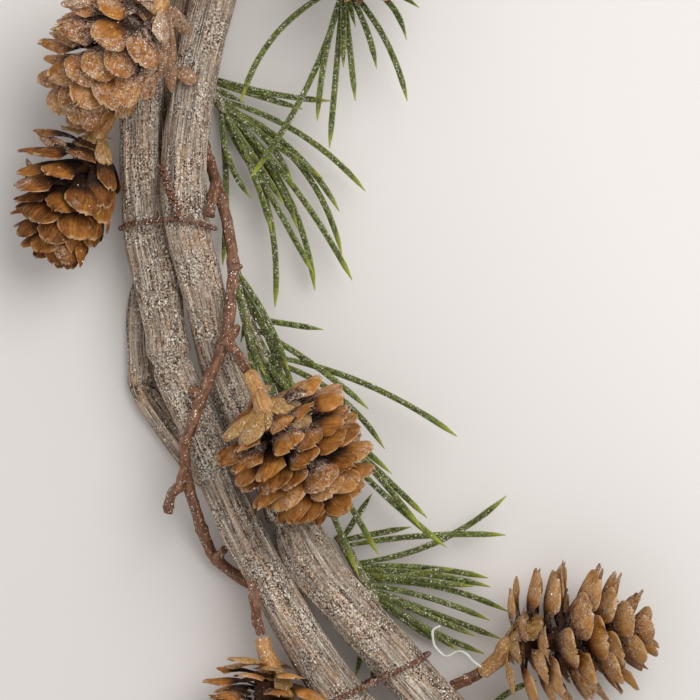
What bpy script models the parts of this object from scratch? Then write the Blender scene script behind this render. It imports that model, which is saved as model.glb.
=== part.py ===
"""A Christmas wreath: a ring of grapevine canes, tied with wire and dressed with cones and needle sprigs.

It lies flat on a surface, its front up. Lengths are in millimetres until a mesh is made, and angles are
in degrees. A place on the ring is given by its turn, anticlockwise from +X round the ring's centre, its
distance out from the ring's middle line, and its height up from the surface.
"""

import math

import bmesh
import bpy
from mathutils import Vector

MM = 0.001
UP = Vector((0.0, 0.0, 1.0))

RING_RADIUS = 165.5
RING_CENTRE = Vector((-0.34, 3.57, 0.0))  # puts the middle of the bounding box over the origin
SEAT_GAP = 0.35  # between two pieces that touch

# The two thick canes lie side by side and roll round each other.
# turn, middle of the pair out, its height, roll of the pair, half the distance between their
# centres, radius of the outer cane, radius of the inner cane
PAIR = (
    (150, 2.3, 10.9, 0, 6.0, 4.5, 4.7),
    (160, 2.4, 10.9, 0, 6.2, 4.4, 4.7),
    (168, 2.6, 10.9, 0, 6.3, 4.3, 4.7),
    (175, 3.0, 11.3, -8, 5.3, 4.4, 4.8),
    (181, 3.0, 12.8, -32, 5.0, 4.6, 4.8),
    (185, 2.3, 13.9, -33, 5.1, 4.9, 4.8),
    (188, 1.1, 13.8, -28, 5.0, 4.9, 4.5),
    (191, 0.9, 12.2, -2, 4.7, 4.2, 4.2),
    (194, 1.2, 11.4, 10, 4.9, 4.3, 4.2),
    (197, 0.2, 11.0, 15, 4.8, 4.2, 4.2),
    (201, -0.8, 10.9, 12, 4.8, 4.3, 4.3),
    (205, -1.1, 10.9, 10, 5.3, 4.3, 4.6),
    (212, -1.0, 10.9, 5, 5.5, 4.5, 4.8),
    (216, -1.0, 10.9, 3, 6.0, 4.7, 5.0),
    (221, -0.9, 10.9, 0, 6.8, 5.1, 5.2),
    (228, -0.8, 10.9, 0, 6.2, 5.0, 5.1),
    (240, 0.0, 10.9, 12, 5.5, 4.8, 4.9),
    (250, 0.4, 10.8, 35, 5.2, 4.7, 4.8),
    (262, 0.6, 10.0, 65, 5.1, 4.7, 4.8),
    (274, 0.5, 9.4, 85, 5.0, 4.7, 4.8),
    (285, 0.0, 9.3, 90, 5.0, 4.7, 4.8),
    (296, -0.6, 9.5, 97, 5.0, 4.6, 4.8),
    (308, -0.8, 10.3, 120, 5.0, 4.6, 4.7),
    (320, 0.0, 10.8, 155, 5.1, 4.6, 4.7),
    (332, 0.8, 10.9, 180, 5.2, 4.7, 4.6),
    (356, 0.6, 10.9, 180, 5.4, 4.8, 4.5),
    (380, 0.0, 10.9, 180, 5.3, 4.8, 4.5),
    (395, -0.3, 10.8, 197, 5.1, 4.7, 4.5),
    (408, -0.2, 10.4, 225, 5.1, 4.6, 4.6),
    (420, 0.2, 9.1, 263, 5.0, 4.6, 4.6),
    (427, 0.4, 9.0, 270, 5.0, 4.6, 4.6),
    (434, 0.7, 9.1, 278, 5.0, 4.6, 4.7),
    (446, 1.1, 10.3, 315, 5.1, 4.6, 4.7),
    (458, 1.6, 10.9, 345, 5.3, 4.5, 4.8),
    (470, 2.0, 10.9, 360, 5.6, 4.5, 4.8),
    (490, 2.2, 10.9, 360, 5.8, 4.5, 4.7),
    (510, 2.3, 10.9, 360, 6.0, 4.5, 4.7),
)
OUTER, INNER = 1, -1
OUTER_ENDS = (44, 392)
INNER_ENDS = (241, 589)
CANE_SIDES = 8
CANE_STEP = 6.0  # turn between two cross-sections
THIN_STEP = 3.0

# A thin cane that winds round the pair: turn, direction from the pair in the cross-section
THIN_RADIUS = 2.8
THIN_START = ((83, 205), (90, 215))
# and where it leaves the pair: turn, out, up
THIN_SEEN = (
    (96, -7.2, 5.0),
    (101, -3.5, 3.3),
    (108, 0.6, 4.0),
    (130, 2.2, 5.2),
    (165, 2.6, 4.8),
    (176, 0.8, 4.9),
    (181, -1.0, 5.6),
    (184.7, 0.4, 5.5),
    (186.5, 4.9, 3.0),
    (188.3, 9.4, 2.6),
    (191.0, 11.4, 2.5),
    (193.8, 12.9, 2.5),
    (194.7, 13.8, 2.5),
    (195.3, 13.5, 2.5),
    (197.2, 11.6, 2.5),
    (200.6, 8.3, 2.5),
    (204.0, 4.8, 2.5),
    (209.0, 2.6, 2.7),
    (213.0, 2.2, 3.2),
)
FAR_RADIUS = 2.4
FAR_ROUTE = (
    (256, -36),
    (268, -12),
    (285, 5),
    (300, 45),
    (315, 92),
    (330, 130),
    (346, 165),
    (365, 180),
    (400, 178),
    (426, 174),
    (440, 130),
    (456, 75),
)
THIN_GAP = 0.6  # the stand-off that keeps a winding cane clear where the pair rolls under it

WIRE_RADIUS = 0.75
WIRE_SIDES = 5
WIRE_GAP = 0.5
LOOP_STEPS = 36
LOOP_SPREAD = 0.6  # turn to each side over which a loop clears the canes
LOOP_SPACING = 1.5  # points of a loop closer than this are dropped
# turn on the outer side of the ring, turn on the inner side
TIES = (
    (184.3, 185.2),
    (219.7, 222.0),
    (252.0, 253.5),
    (331.0, 329.5),
    (354.5, 356.0),
    (380.5, 379.0),
    (404.0, 405.5),
    (480.5, 479.0),
    (503.5, 505.0),
)
LOOP_SPAN = 24.0  # the width over which a loop takes its slant
TAIL_RADIUS = 1.3
# turn, out, up
SEEN_TAILS = (
    ((184.2, -1.4, 18.4), (182.6, 0.5, 22.4), (180.9, 2.0, 22.0), (179.8, 3.3, 20.2)),
    ((220.8, -0.9, 16.6), (220.9, -0.9, 13.0), (221.0, -0.9, 9.0)),
)
TAIL_LENGTH = 10.0

CONE_SIDES = 10
CONE_TIERS = 6
FAR_CONE_SIDES = 8
FAR_CONE_TIERS = 4
# share of the length, share of the radius
CONE_SHAPE = (
    (0.0, 0.42),
    (0.14, 0.80),
    (0.32, 0.99),
    (0.46, 1.0),
    (0.64, 0.88),
    (0.82, 0.60),
    (1.0, 0.16),
)
TIER_DEPTH = 0.74  # radius between two tiers of scales, as a share
SEEN_CONE_FILL = 0.94  # the solid's radius as a share of the cone's, clear of the thin ends of its scales
# base and tip as turn, out, up, and the radius
CONES = (
    ((169.2, 7.0, 32.0), (176.0, 22.0, 22.0), 13.6),
    ((178.3, 17.4, 17.4), (185.3, 26.6, 14.4), 11.6),
    ((199.2, -10.8, 31.0), (208.3, -16.2, 19.0), 13.0),
    ((226.5, -28.0, 15.6), (235.4, -49.6, 14.4), 13.4),
    ((215.9, 14.6, 14.6), (221.5, 32.8, 14.0), 12.2),
)
# start of each cone's socket as turn, out, up
SOCKETS = (
    (166.9, 6.3, 20.4),
    (175.9, 13.6, 13.2),
    (196.0, -9.4, 25.5),
    (226.2, -19.2, 9.8),
    (213.66, 11.86, 13.75),
)
SOCKET_ENDS = (1.7, 2.1, 3.4)  # radius at its stem, at its waist and at its mouth
SOCKET_BEND = 0.4  # where it turns to meet its cone head-on, as a share of its length
SOCKET_STEPS = 4

TWIG_SIDES = 6
# turn, out, up, of each route, with the radius
LONG_TWIG = (
    (
        1.25,
        (177.9, -5.3, 5.8),
        (179.0, -6.2, 7.2),
        (180.4, -7.6, 9.4),
        (183.6, -9.9, 12.8),
        (187.1, -10.6, 16.0),
        (189.4, -9.5, 17.4),
        (192.3, -7.1, 17.8),
        (193.7, -4.9, 17.6),
        (196.2, 0.7, 18.0),
        (198.3, 5.3, 18.6),
        (199.8, 8.6, 17.6),
        (201.8, 10.3, 14.2),
        (203.9, 11.3, 10.0),
        (206.0, 12.1, 6.0),
        (207.5, 12.1, 3.9),
        (209.5, 9.5, 3.2),
        (211.0, 6.6, 2.8),
    ),
    (
        1.1,
        (180.2, -7.4, 9.2),
        (180.9, -8.2, 13.0),
        (181.5, -7.9, 16.2),
        (182.4, -7.4, 19.0),
        (183.6, -6.8, 20.6),
    ),
    (1.15, (192.9, -6.4, 17.8), (194.4, -8.0, 20.8), (195.8, -9.2, 24.8)),
    (1.1, (200.8, 9.6, 16.2), (201.9, 12.2, 15.6), (202.3, 14.6, 15.0), (203.3, 16.7, 13.6)),
    (0.9, (207.3, 12.1, 4.0), (207.4, 11.2, 6.2), (207.2, 9.5, 8.6)),
)
SHORT_TWIG = ((1.2, (225.3, -12.5, 6.6), (225.8, -15.8, 7.8), (226.1, -18.6, 9.4)),)
SIDE_TWIG = ((1.1, (210.0, 7.2, 17.1), (211.3, 9.0, 16.6), (212.5, 10.7, 15.0), (213.4, 11.5, 14.2)),)
UPPER_TWIG = ((1.1, (162.6, 8.0, 16.9), (164.8, 6.4, 18.2), (166.6, 6.2, 19.8)),)
OUTER_TWIG = ((1.1, (171.6, 14.0, 11.2), (173.6, 13.6, 11.8), (175.6, 13.6, 13.0)),)

NEEDLE_SIDES = 4
FAR_NEEDLE_SIDES = 3
NEEDLE_SHARES = (0.62, 1.0, 0.5)  # its radius at the root, in the middle and at the end, as shares
# For each sprig: the stem's route as turn, out, up, the stem's radius, the needles' radius, and the
# needles as share of the way along the stem, heading in the plane, length, bow to the left, and rise.
SPRIGS = (
    (
        ((154.5, -9.9, 8.8), (158.0, -19.5, 9.0), (161.5, -28.4, 11.0), (164.1, -29.5, 12.4)),
        1.2,
        0.72,
        (
            (0.97, -131, 33, -4, 5),
            (0.97, -116, 45, 2.4, 4.5),
            (0.98, -101, 29, -1, 5),
            (0.99, -95, 34, 0, 3),
            (1.0, -90, 17, 0, 4),
            (1.0, -84, 24, 0, 3),
            (0.98, -74, 9, 0, 4),
            (0.96, -69, 19, 1, 3),
            (0.94, -62, 28, 2, 2),
            (0.88, -45, 18, 3, 2),
            (0.82, -25, 17, 1, 1),
        ),
    ),
    (
        ((171.6, -2.6, 3.4), (173.4, -5.4, 3.4), (175.6, -9.4, 4.6)),
        1.3,
        0.72,
        (
            (0.4, -12, 27, -1, 5.5),
            (0.5, -17, 21, 0, 3.5),
            (0.6, -26, 8, 0, 2),
            (0.8, -32, 37, 3, 4),
            (0.9, -51, 41, 5, 2),
            (0.9, -42, 34, 3, 3),
            (0.9, -36, 27, 0, 5),
            (1.0, -63, 43, 4, 0),
            (0.95, -53, 46, 2, 5),
            (1.0, -61, 40, 0, 4),
            (0.95, -75, 44, 4, 3),
            (1.0, -57, 24, 0, 3),
            (0.95, -57, 27, 1, -1),
            (0.9, -89, 34, 1, -1),
            (1.0, -72, 20, -2, 2),
            (1.0, -60, 17, -1, -1),
            (0.8, -48, 24, 2, 3),
            (0.9, -58, 31, 2, 1),
            (0.95, -68, 29, 1, 4),
        ),
    ),
    (
        ((187.6, -10.7, 13.0), (189.4, -11.0, 11.4), (192.5, -12.0, 10.6), (196.3, -13.9, 10.4)),
        1.5,
        0.72,
        (
            (0.62, -9, 16, 0, 2),
            (0.7, -35, 30, 1, 1),
            (0.9, -23, 44, 2.6, 1),
            (0.95, -37, 31, 3, 3),
            (0.97, -42, 35, 0, -1),
            (1.0, -44, 46, 0, -1),
            (1.0, -47, 47, 1, 2),
            (0.97, -46, 54, -2, 1),
            (1.0, -60, 46, 0, 0),
            (0.6, -104, 6, 0, 0),
            (0.8, -96, 7, 0, 1),
            (0.9, -50, 12, -1, 3),
            (1.0, -67, 48, 0, 1),
            (0.05, -62, 24, 1, 2),
            (0.15, -74, 22, -1, 1),
            (0.25, -66, 24, 1, 0),
            (0.35, -80, 20, 0, 1),
            (0.45, -60, 22, 1, 2),
            (0.55, -70, 24, -1, 0),
            (0.65, -84, 18, 0, 1),
            (0.75, -64, 26, 1, 2),
            (0.9, -76, 24, 0, 1),
        ),
    ),
    (
        ((210.3, -13.0, 4.6), (213.5, -12.6, 4.0), (216.6, -11.8, 3.8)),
        1.3,
        0.72,
        (
            (0.1, 11, 15, 0, 2),
            (0.2, 4, 34, 1, 2),
            (0.45, 24, 35, -3, 3),
            (0.5, -5, 28, 1, -1),
            (0.55, -7, 28, 1, 2),
            (0.7, -12, 31, 2, 0),
            (0.8, -21, 30, 0, -1),
            (0.9, -28, 27, -1, -1),
            (1.0, -35, 16, 0, 0),
            (0.7, 8, 19, 0, 2),
            (0.1, 57, 12, 0, 3),
            (0.6, -6, 24, 0, 3),
            (0.75, -16, 27, 1, 2),
            (0.85, -23, 24, 0, 2),
            (0.9, -33, 22, 0, 1),
            (1.0, -104, 17, 0, -1),
            (1.0, -92, 18, 0, -1),
        ),
    ),
    (
        ((227.2, -8.6, 4.2), (228.4, -11.8, 3.2), (229.4, -15.0, 2.6)),
        1.1,
        0.72,
        (
            (0.6, -6, 16, 1, 0),
            (0.7, 32, 13, 1, 0),
            (1.0, -28, 17, 0, 1),
            (1.0, 8, 12, 0, 1),
        ),
    ),
)

# The far side of the ring is dressed by rule: at each station a pick of two cones and a sprig.
STATIONS = tuple(241 + 25 * k for k in range(11))
FAR_CONE_RADIUS = 11.6
FAR_CONE_LENGTH = 27.0
FAR_CONE_GAP = 2.2
FAR_CONE_LEAN = 14.0  # how far its tip leans away from the canes
TOP_DIRECTION = 90
SIDE_LIFT = 17  # direction of a side cone above the horizontal
TOP_AHEAD, SIDE_AHEAD = 6.0, 15.0  # turn from a station to the middle of its cones
ROOT_AHEAD = 6.5
PICK_STEM_RADIUS = 1.2
FAR_SPRIG_SPAN = 11.0
FAR_SPRIG_NEEDLES = 11
FAR_SPRIG_REACH = 12.0


def read(rows, turn):
    """The other columns of a table at this turn, along a smooth curve through its rows."""
    last = len(rows) - 2
    index = max([k for k in range(last + 1) if rows[k][0] <= turn], default=0)
    low, high = rows[index], rows[index + 1]
    span = high[0] - low[0]
    share = min(max((turn - low[0]) / span, 0.0), 1.0)

    def slope(row, column):
        before, after = rows[max(row - 1, 0)], rows[min(row + 1, last + 1)]
        return (after[column] - before[column]) / (after[0] - before[0]) * span

    def blend(column):
        square, cube = share**2, share**3
        return (
            (2 * cube - 3 * square + 1) * low[column]
            + (cube - 2 * square + share) * slope(index, column)
            + (3 * square - 2 * cube) * high[column]
            + (cube - square) * slope(index + 1, column)
        )

    return [blend(column) for column in range(1, len(low))]


def outward(turn):
    return Vector((math.cos(math.radians(turn)), math.sin(math.radians(turn)), 0.0))


def place(turn, out, up):
    return RING_CENTRE + outward(turn) * (RING_RADIUS + out) + UP * up


def pair_at(turn):
    first = PAIR[0][0]
    return read(PAIR, (turn - first) % 360 + first)


def thick_at(turn, side):
    """Out, up and radius of one thick cane."""
    middle, up, roll, half, outer, inner = pair_at(turn)
    reach = half * side
    roll = math.radians(roll)
    radius = outer if side == OUTER else inner
    return middle + reach * math.cos(roll), up + reach * math.sin(roll), radius


def winding_at(turn, direction, radius):
    """Out, up and radius of a thin cane that lies against the pair in this direction."""
    middle, up, roll, half, outer, inner = pair_at(turn)
    angle = math.radians(direction - roll)
    reach = max(outer, inner) + radius + THIN_GAP
    along = reach * math.cos(angle) + half * max(-1.0, min(1.0, 4 * math.cos(angle)))
    over = reach * math.sin(angle)
    roll = math.radians(roll)
    out = middle + along * math.cos(roll) - over * math.sin(roll)
    rise = up + along * math.sin(roll) + over * math.cos(roll)
    return out, max(rise, radius - 0.1), radius


def thin_at(turn):
    wound = [(row[0], *winding_at(row[0], row[1], THIN_RADIUS)[:2]) for row in THIN_START]
    out, up = read([*wound, *THIN_SEEN], turn)
    return out, up, THIN_RADIUS


def far_at(turn):
    (direction,) = read(FAR_ROUTE, turn)
    return winding_at(turn, direction, FAR_RADIUS)


def near(turn, ends):
    """The turn, with whole rounds added, that lies within these ends, or None."""
    found = ends[0] + (turn - ends[0]) % 360
    return found if found <= ends[1] else None


def canes_at(turn):
    """Out, up and radius of each cane that crosses this turn."""
    found = []
    if near(turn, OUTER_ENDS):
        found.append(thick_at(turn, OUTER))
    if near(turn, INNER_ENDS):
        found.append(thick_at(turn, INNER))
    if near(turn, (THIN_START[0][0], THIN_SEEN[-1][0])):
        found.append(thin_at(near(turn, (THIN_START[0][0], THIN_SEEN[-1][0]))))
    if near(turn, (FAR_ROUTE[0][0], FAR_ROUTE[-1][0])):
        found.append(far_at(near(turn, (FAR_ROUTE[0][0], FAR_ROUTE[-1][0]))))
    return found


def seat(turn, direction, clearance, spread=0.0):
    """Out and up of a point this clear of the outermost cane in a direction of the cross-section."""
    across, over = math.cos(math.radians(direction)), math.sin(math.radians(direction))
    canes = [cane for ahead in {-spread, 0.0, spread} for cane in canes_at(turn + ahead)]
    out, up, radius = max(canes, key=lambda c: c[0] * across + c[1] * over + c[2])
    return out + across * (radius + clearance), up + over * (radius + clearance)


def smooth(points, steps):
    """Points along a smooth curve through these points, with this many to each stretch."""
    found = []
    for k in range(len(points) - 1):
        a, b, c, d = (points[max(0, min(k + n, len(points) - 1))] for n in (-1, 0, 1, 2))
        for step in range(steps):
            t = step / steps
            square, cube = t**2, t**3
            curve = 2 * b + (c - a) * t + (2 * a - 5 * b + 4 * c - d) * square + (3 * b - a - 3 * c + d) * cube
            found.append(0.5 * curve)
    return [*found, points[-1]]


def ring(centre, across, over, radius, sides):
    """A ring of points that runs from across to over, round the direction across x over."""
    angles = [2 * math.pi * (k + 0.5) / sides for k in range(sides)]
    return [centre + across * (radius * math.cos(a)) + over * (radius * math.sin(a)) for a in angles]


def loft(name, rings, closed=False):
    """An object through these rings of points, capped unless its ends meet."""
    mesh = bpy.data.meshes.new(name)
    build = bmesh.new()
    rows = [[build.verts.new(point * MM) for point in points] for points in rings]
    pairs = list(zip(rows, rows[1:]))
    if closed:
        pairs.append((rows[-1], rows[0]))
    else:
        build.faces.new(reversed(rows[0]))
        build.faces.new(rows[-1])
    for low, high in pairs:
        for k in range(len(low)):
            build.faces.new((low[k - 1], low[k], high[k], high[k - 1]))
    build.to_mesh(mesh)
    build.free()
    made = bpy.data.objects.new(name, mesh)
    bpy.context.scene.collection.objects.link(made)
    return made


def tube(name, points, radii, sides, closed=False, across=None):
    """A tube through these points, with a radius for each."""
    count = len(points)
    rings = []
    for k, point in enumerate(points):
        before = points[k - 1] if k or closed else point
        after = points[(k + 1) % count] if k + 1 < count or closed else point
        along = (after - before).normalized()
        if across is None:
            across = along.cross(UP)
        across = (across - along * across.dot(along)).normalized()
        rings.append(ring(point, across, along.cross(across), radii[k], sides))
    return loft(name, rings, closed)


def fuse(name, pieces):
    """One object that is the union of these pieces."""
    whole = pieces[0]
    whole.name = name
    for piece in pieces[1:]:
        joint = whole.modifiers.new("join", "BOOLEAN")
        joint.operation = "UNION"
        joint.object = piece
    bpy.context.view_layer.update()
    graph = bpy.context.evaluated_depsgraph_get()
    joined = bpy.data.meshes.new_from_object(whole.evaluated_get(graph))
    whole.modifiers.clear()
    whole.data = joined
    for piece in pieces[1:]:
        bpy.data.objects.remove(piece)
    return whole


def material(name, colour, roughness, metallic=0.0):
    made = bpy.data.materials.new(name)
    made.use_nodes = True
    shader = made.node_tree.nodes["Principled BSDF"]
    shader.inputs["Base Color"].default_value = (*colour, 1.0)
    shader.inputs["Roughness"].default_value = roughness
    shader.inputs["Metallic"].default_value = metallic
    return made


def paint(piece, finish):
    piece.data.materials.clear()
    piece.data.materials.append(finish)


def cane(name, ends, step, read_at, finish):
    """A cane between two turns, flattened where it would pass below the surface."""
    count = round((ends[1] - ends[0]) / step)
    rings = []
    for k in range(count + 1):
        turn = ends[0] + (ends[1] - ends[0]) * k / count
        out, up, radius = read_at(turn)
        points = ring(place(turn, out, up), UP, outward(turn), radius, CANE_SIDES)
        rings.append([Vector((p.x, p.y, max(p.z, 0.0))) for p in points])
    paint(loft(name, rings), finish)


def build_canes(bark):
    cane("vine_outer", OUTER_ENDS, CANE_STEP, lambda turn: thick_at(turn, OUTER), bark)
    cane("vine_inner", INNER_ENDS, CANE_STEP, lambda turn: thick_at(turn, INNER), bark)
    cane("vine_thin", (THIN_START[0][0], THIN_SEEN[-1][0]), THIN_STEP, thin_at, bark)
    cane("vine_thin_far", (FAR_ROUTE[0][0], FAR_ROUTE[-1][0]), CANE_STEP, far_at, bark)


def loop_points(turns):
    """The closed path of a tie's wire, tight round every cane it passes."""
    middle_turn = sum(turns) / 2
    canes = canes_at(middle_turn)
    centre = sum(c[0] for c in canes) / len(canes)
    points = []
    for k in range(LOOP_STEPS):
        out, up = seat(middle_turn, 360 * k / LOOP_STEPS, WIRE_RADIUS + WIRE_GAP, LOOP_SPREAD)
        slant = (turns[0] - turns[1]) * (out - centre) / LOOP_SPAN
        point = place(middle_turn + slant, out, up)
        if all((point - kept).length > LOOP_SPACING for kept in (points[:1] + points[-1:])):
            points.append(point)
    return points


def nearest_on(loop, target):
    """The point of a closed path that lies nearest to a target."""
    spots = []
    for k, end in enumerate(loop):
        span = end - loop[k - 1]
        share = (target - loop[k - 1]).dot(span) / span.length_squared
        spots.append(loop[k - 1] + span * min(max(share, 0.0), 1.0))
    return min(spots, key=lambda spot: (spot - target).length)


def build_tie(number, turns, wire):
    points = loop_points(turns)
    along = UP.cross(outward(sum(turns) / 2))
    loop = tube("loop", points, [WIRE_RADIUS] * len(points), WIRE_SIDES, closed=True, across=along)
    if number <= len(SEEN_TAILS):
        route = [place(*row) for row in SEEN_TAILS[number - 1]]
        route[0] = nearest_on(points, route[0])
    else:
        top = max(points, key=lambda point: point.z)
        lean = along * (0.8 if number % 2 else -0.8) + outward(turns[0]) * 0.25 * (-1) ** (number // 2)
        route = [top - UP * 0.2, top + lean * 3 + UP * 2.2, top + lean * TAIL_LENGTH + UP * 2.0]
    path = smooth(route, 3)
    radii = [TAIL_RADIUS] * (len(path) - 1) + [TAIL_RADIUS * 0.7]
    tail = tube("tail", path, radii, WIRE_SIDES)
    paint(fuse(f"tie_{number}", [loop, tail]), wire)


def cone_body(name, base, tip, radius, sides, tiers):
    """An open cone as tiers of scales, stepped along its axis."""
    axis = (tip - base).normalized()
    across = axis.orthogonal().normalized()
    over = axis.cross(across)
    rings = []
    for k in range(2 * tiers + 1):
        share = k / (2 * tiers)
        (width,) = read(CONE_SHAPE, share)
        width *= radius * (TIER_DEPTH if k % 2 else 1.0)
        rings.append(ring(base + (tip - base) * share, across, over, width, sides))
    return loft(name, rings)


def build_socket(number, start, base, axis, finish):
    """The moulded cup between a twig and the base of its cone."""
    mouth = base - axis * 0.5
    neck = mouth - axis * 2.2
    bend = neck - axis * (mouth - start).length * SOCKET_BEND
    shares = [k / SOCKET_STEPS for k in range(SOCKET_STEPS + 1)]
    path = [start * (1 - t) ** 2 + bend * (2 * t * (1 - t)) + neck * t**2 for t in shares]
    radii = [SOCKET_ENDS[0] + (SOCKET_ENDS[1] - SOCKET_ENDS[0]) * t for t in shares]
    path += [mouth - axis * 0.9, mouth]
    radii += [SOCKET_ENDS[2]] * 2
    paint(tube(f"cone_socket_{number}", path, radii, CANE_SIDES), finish)


def build_cones(scale, tan):
    for number, (base, tip, radius) in enumerate(CONES, 1):
        base, tip = place(*base), place(*tip)
        axis = (tip - base).normalized()
        body = cone_body(f"cone_{number}", base, tip, radius * SEEN_CONE_FILL, CONE_SIDES, CONE_TIERS)
        paint(body, scale)
        build_socket(number, place(*SOCKETS[number - 1]), base, axis, tan)


def build_twig(name, routes, bark):
    pieces = []
    for radius, *rows in routes:
        path = smooth([place(*row) for row in rows], 2)
        pieces.append(tube(name, path, [radius] * (len(path) - 1) + [radius * 0.75], TWIG_SIDES))
    paint(fuse(name, pieces), bark)


def needle(start, heading, length, bow, rise, radius, sides):
    """One flat-lying needle that bows to the left of its heading."""
    ahead = outward(heading)
    left = UP.cross(ahead)
    middle = start + ahead * (length / 2) + left * bow + UP * (rise * 0.6)
    path = [start, middle, start + ahead * length + UP * rise]
    return tube("needle", path, [radius * share for share in NEEDLE_SHARES], sides)


def build_sprig(name, route, stem_radius, needle_radius, needles, sides, green):
    stem = smooth(route, 2)
    pieces = [tube(name, stem, [stem_radius] * (len(stem) - 1) + [stem_radius * 0.7], TWIG_SIDES)]
    for share, heading, length, bow, rise in needles:
        place_along = share * (len(stem) - 1.3)
        index = int(place_along)
        start = stem[index].lerp(stem[index + 1], place_along - index)
        pieces.append(needle(start, heading, length, bow, rise, needle_radius, sides))
    paint(fuse(name, pieces), green)


def far_cone(name, turn, direction):
    """A cone of the far side, clear of every cane that runs under it, and its base."""
    spots = [seat(turn + ahead, direction, FAR_CONE_RADIUS + FAR_CONE_GAP) for ahead in (-4, 0, 4)]
    across, over = math.cos(math.radians(direction)), math.sin(math.radians(direction))
    out, up = max(spots, key=lambda spot: spot[0] * across + spot[1] * over)
    centre = place(turn, out, max(up, FAR_CONE_RADIUS + 1.0))
    away = outward(turn) * across + UP * over
    lean = math.radians(FAR_CONE_LEAN)
    axis = UP.cross(outward(turn)) * math.cos(lean) + away * math.sin(lean)
    base = centre - axis * FAR_CONE_LENGTH / 2
    tip = centre + axis * FAR_CONE_LENGTH / 2
    return cone_body(name, base, tip, FAR_CONE_RADIUS, FAR_CONE_SIDES, FAR_CONE_TIERS), base, axis


def build_far_pick(number, station, side, scale):
    """Two cones on a forked stem: one over the canes and one beside them."""
    side_direction = SIDE_LIFT if side == OUTER else 180 - SIDE_LIFT
    pieces = []
    root_turn = station - ROOT_AHEAD + 1
    root = place(root_turn, *seat(root_turn, TOP_DIRECTION, PICK_STEM_RADIUS + SEAT_GAP))
    fork = place(station - 3, *seat(station - 3, 60 if side == OUTER else 120, PICK_STEM_RADIUS + 1.2))
    spots = ((station + TOP_AHEAD, TOP_DIRECTION), (station + SIDE_AHEAD, side_direction))
    for spot, direction in spots:
        body, base, axis = far_cone("cone", spot, direction)
        pieces.append(body)
        if direction == TOP_DIRECTION:
            route = [root, fork, base - axis * 2.5, base + axis * 2]
        else:
            over = place(station + 4, *seat(station + 4, side_direction, PICK_STEM_RADIUS + 0.9))
            route = [fork, over, base - axis * 2.5, base + axis * 2]
        path = smooth(route, 2)
        pieces.append(tube("stem", path, [PICK_STEM_RADIUS] * len(path), WIRE_SIDES))
    paint(fuse(f"cone_pick_{number}", [pieces[1], pieces[0], pieces[3], pieces[2]]), scale)


def build_lone_pick(scale):
    """The cone on its own stem at the upper end of the dressed stretch."""
    base, tip = place(154.2, -25.8, 29.0), place(164.4, -36.5, 26.0)
    axis = (tip - base).normalized()
    body = cone_body("cone", base, tip, 12.4, CONE_SIDES, CONE_TIERS)
    root = place(148.5, *seat(148.5, 150, 1.55))
    path = smooth([root, place(150.6, -15.0, 20.0), base - axis * 2.5, base + axis * 2], 3)
    stem = tube("stem", path, [PICK_STEM_RADIUS] * len(path), TWIG_SIDES)
    paint(fuse("cone_pick_12", [stem, body]), scale)


def build_far_sprig(number, station, side, green):
    """A sprig on the side that its station's low cone leaves free, fanning away from the canes."""
    direction = 180 if side == OUTER else 0
    sign = -1 if side == OUTER else 1
    route = []
    for k, clear in enumerate((1.5, 3.4, FAR_SPRIG_REACH)):
        turn = station + FAR_SPRIG_SPAN * k / 2
        out, up = seat(turn, direction, clear)
        route.append(place(turn, out, max(up, 4.0)))
    needles = []
    for k in range(FAR_SPRIG_NEEDLES):
        share = 0.35 + 0.65 * k / (FAR_SPRIG_NEEDLES - 1)
        swing = (-1) ** k * (18 + 5 * (k % 4))
        turn = station + FAR_SPRIG_SPAN * share
        heading = turn + 96 - sign * (28 + max(swing, -22) * 0.9)
        length = 20 + 9 * ((k * 5) % 4) / 3 + 6 * share
        needles.append((share, heading, length, 1.5 * (-1) ** (k // 2), -2.5 + 5.5 * ((k * 3) % 5) / 4))
    build_sprig(f"sprig_pick_{number}", route, 1.3, 0.85, needles, FAR_NEEDLE_SIDES, green)


def main():
    for old in list(bpy.data.objects):
        bpy.data.objects.remove(old)
    bark = material("vine_bark", (0.32, 0.25, 0.19), 0.8)
    wire = material("tie_wire", (0.13, 0.07, 0.042), 0.7)
    scale = material("cone_scale", (0.38, 0.2, 0.09), 0.6)
    tan = material("socket_tan", (0.5, 0.3, 0.13), 0.5)
    twig = material("twig_bark", (0.21, 0.12, 0.07), 0.5)
    green = material("needle_green", (0.2, 0.22, 0.08), 0.55)

    build_canes(bark)
    for number, turns in enumerate(TIES, 1):
        build_tie(number, turns, wire)
    build_cones(scale, tan)
    build_lone_pick(scale)
    build_twig("twig_long", LONG_TWIG, twig)
    build_twig("twig_short", SHORT_TWIG, twig)
    build_twig("twig_side", SIDE_TWIG, twig)
    build_twig("twig_upper", UPPER_TWIG, twig)
    build_twig("twig_outer", OUTER_TWIG, twig)
    for number, (route, stem_radius, needle_radius, needles) in enumerate(SPRIGS, 1):
        points = [place(*row) for row in route]
        build_sprig(f"sprig_{number}", points, stem_radius, needle_radius, needles, NEEDLE_SIDES, green)
    for number, station in enumerate(STATIONS, 1):
        side = OUTER if number % 2 else INNER
        build_far_pick(number, station, side, scale)
        build_far_sprig(number, station, side, green)


main()
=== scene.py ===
"""A Christmas wreath of grapevine canes, tied with wire and dressed with larch cones and needle sprigs.

It lies flat with its front up. Layout lengths are in millimetres and angles in degrees, and meshes are
made in metres. A place on the ring is its turn, anticlockwise from +X, its distance out from the ring's
middle line and its height up from the surface.
"""

import logging
import math
from collections.abc import Callable, Sequence
from dataclasses import asdict, dataclass, field, replace
from enum import Enum
from typing import Any

import bpy
import numpy as np
from mathutils import Matrix, Vector


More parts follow.
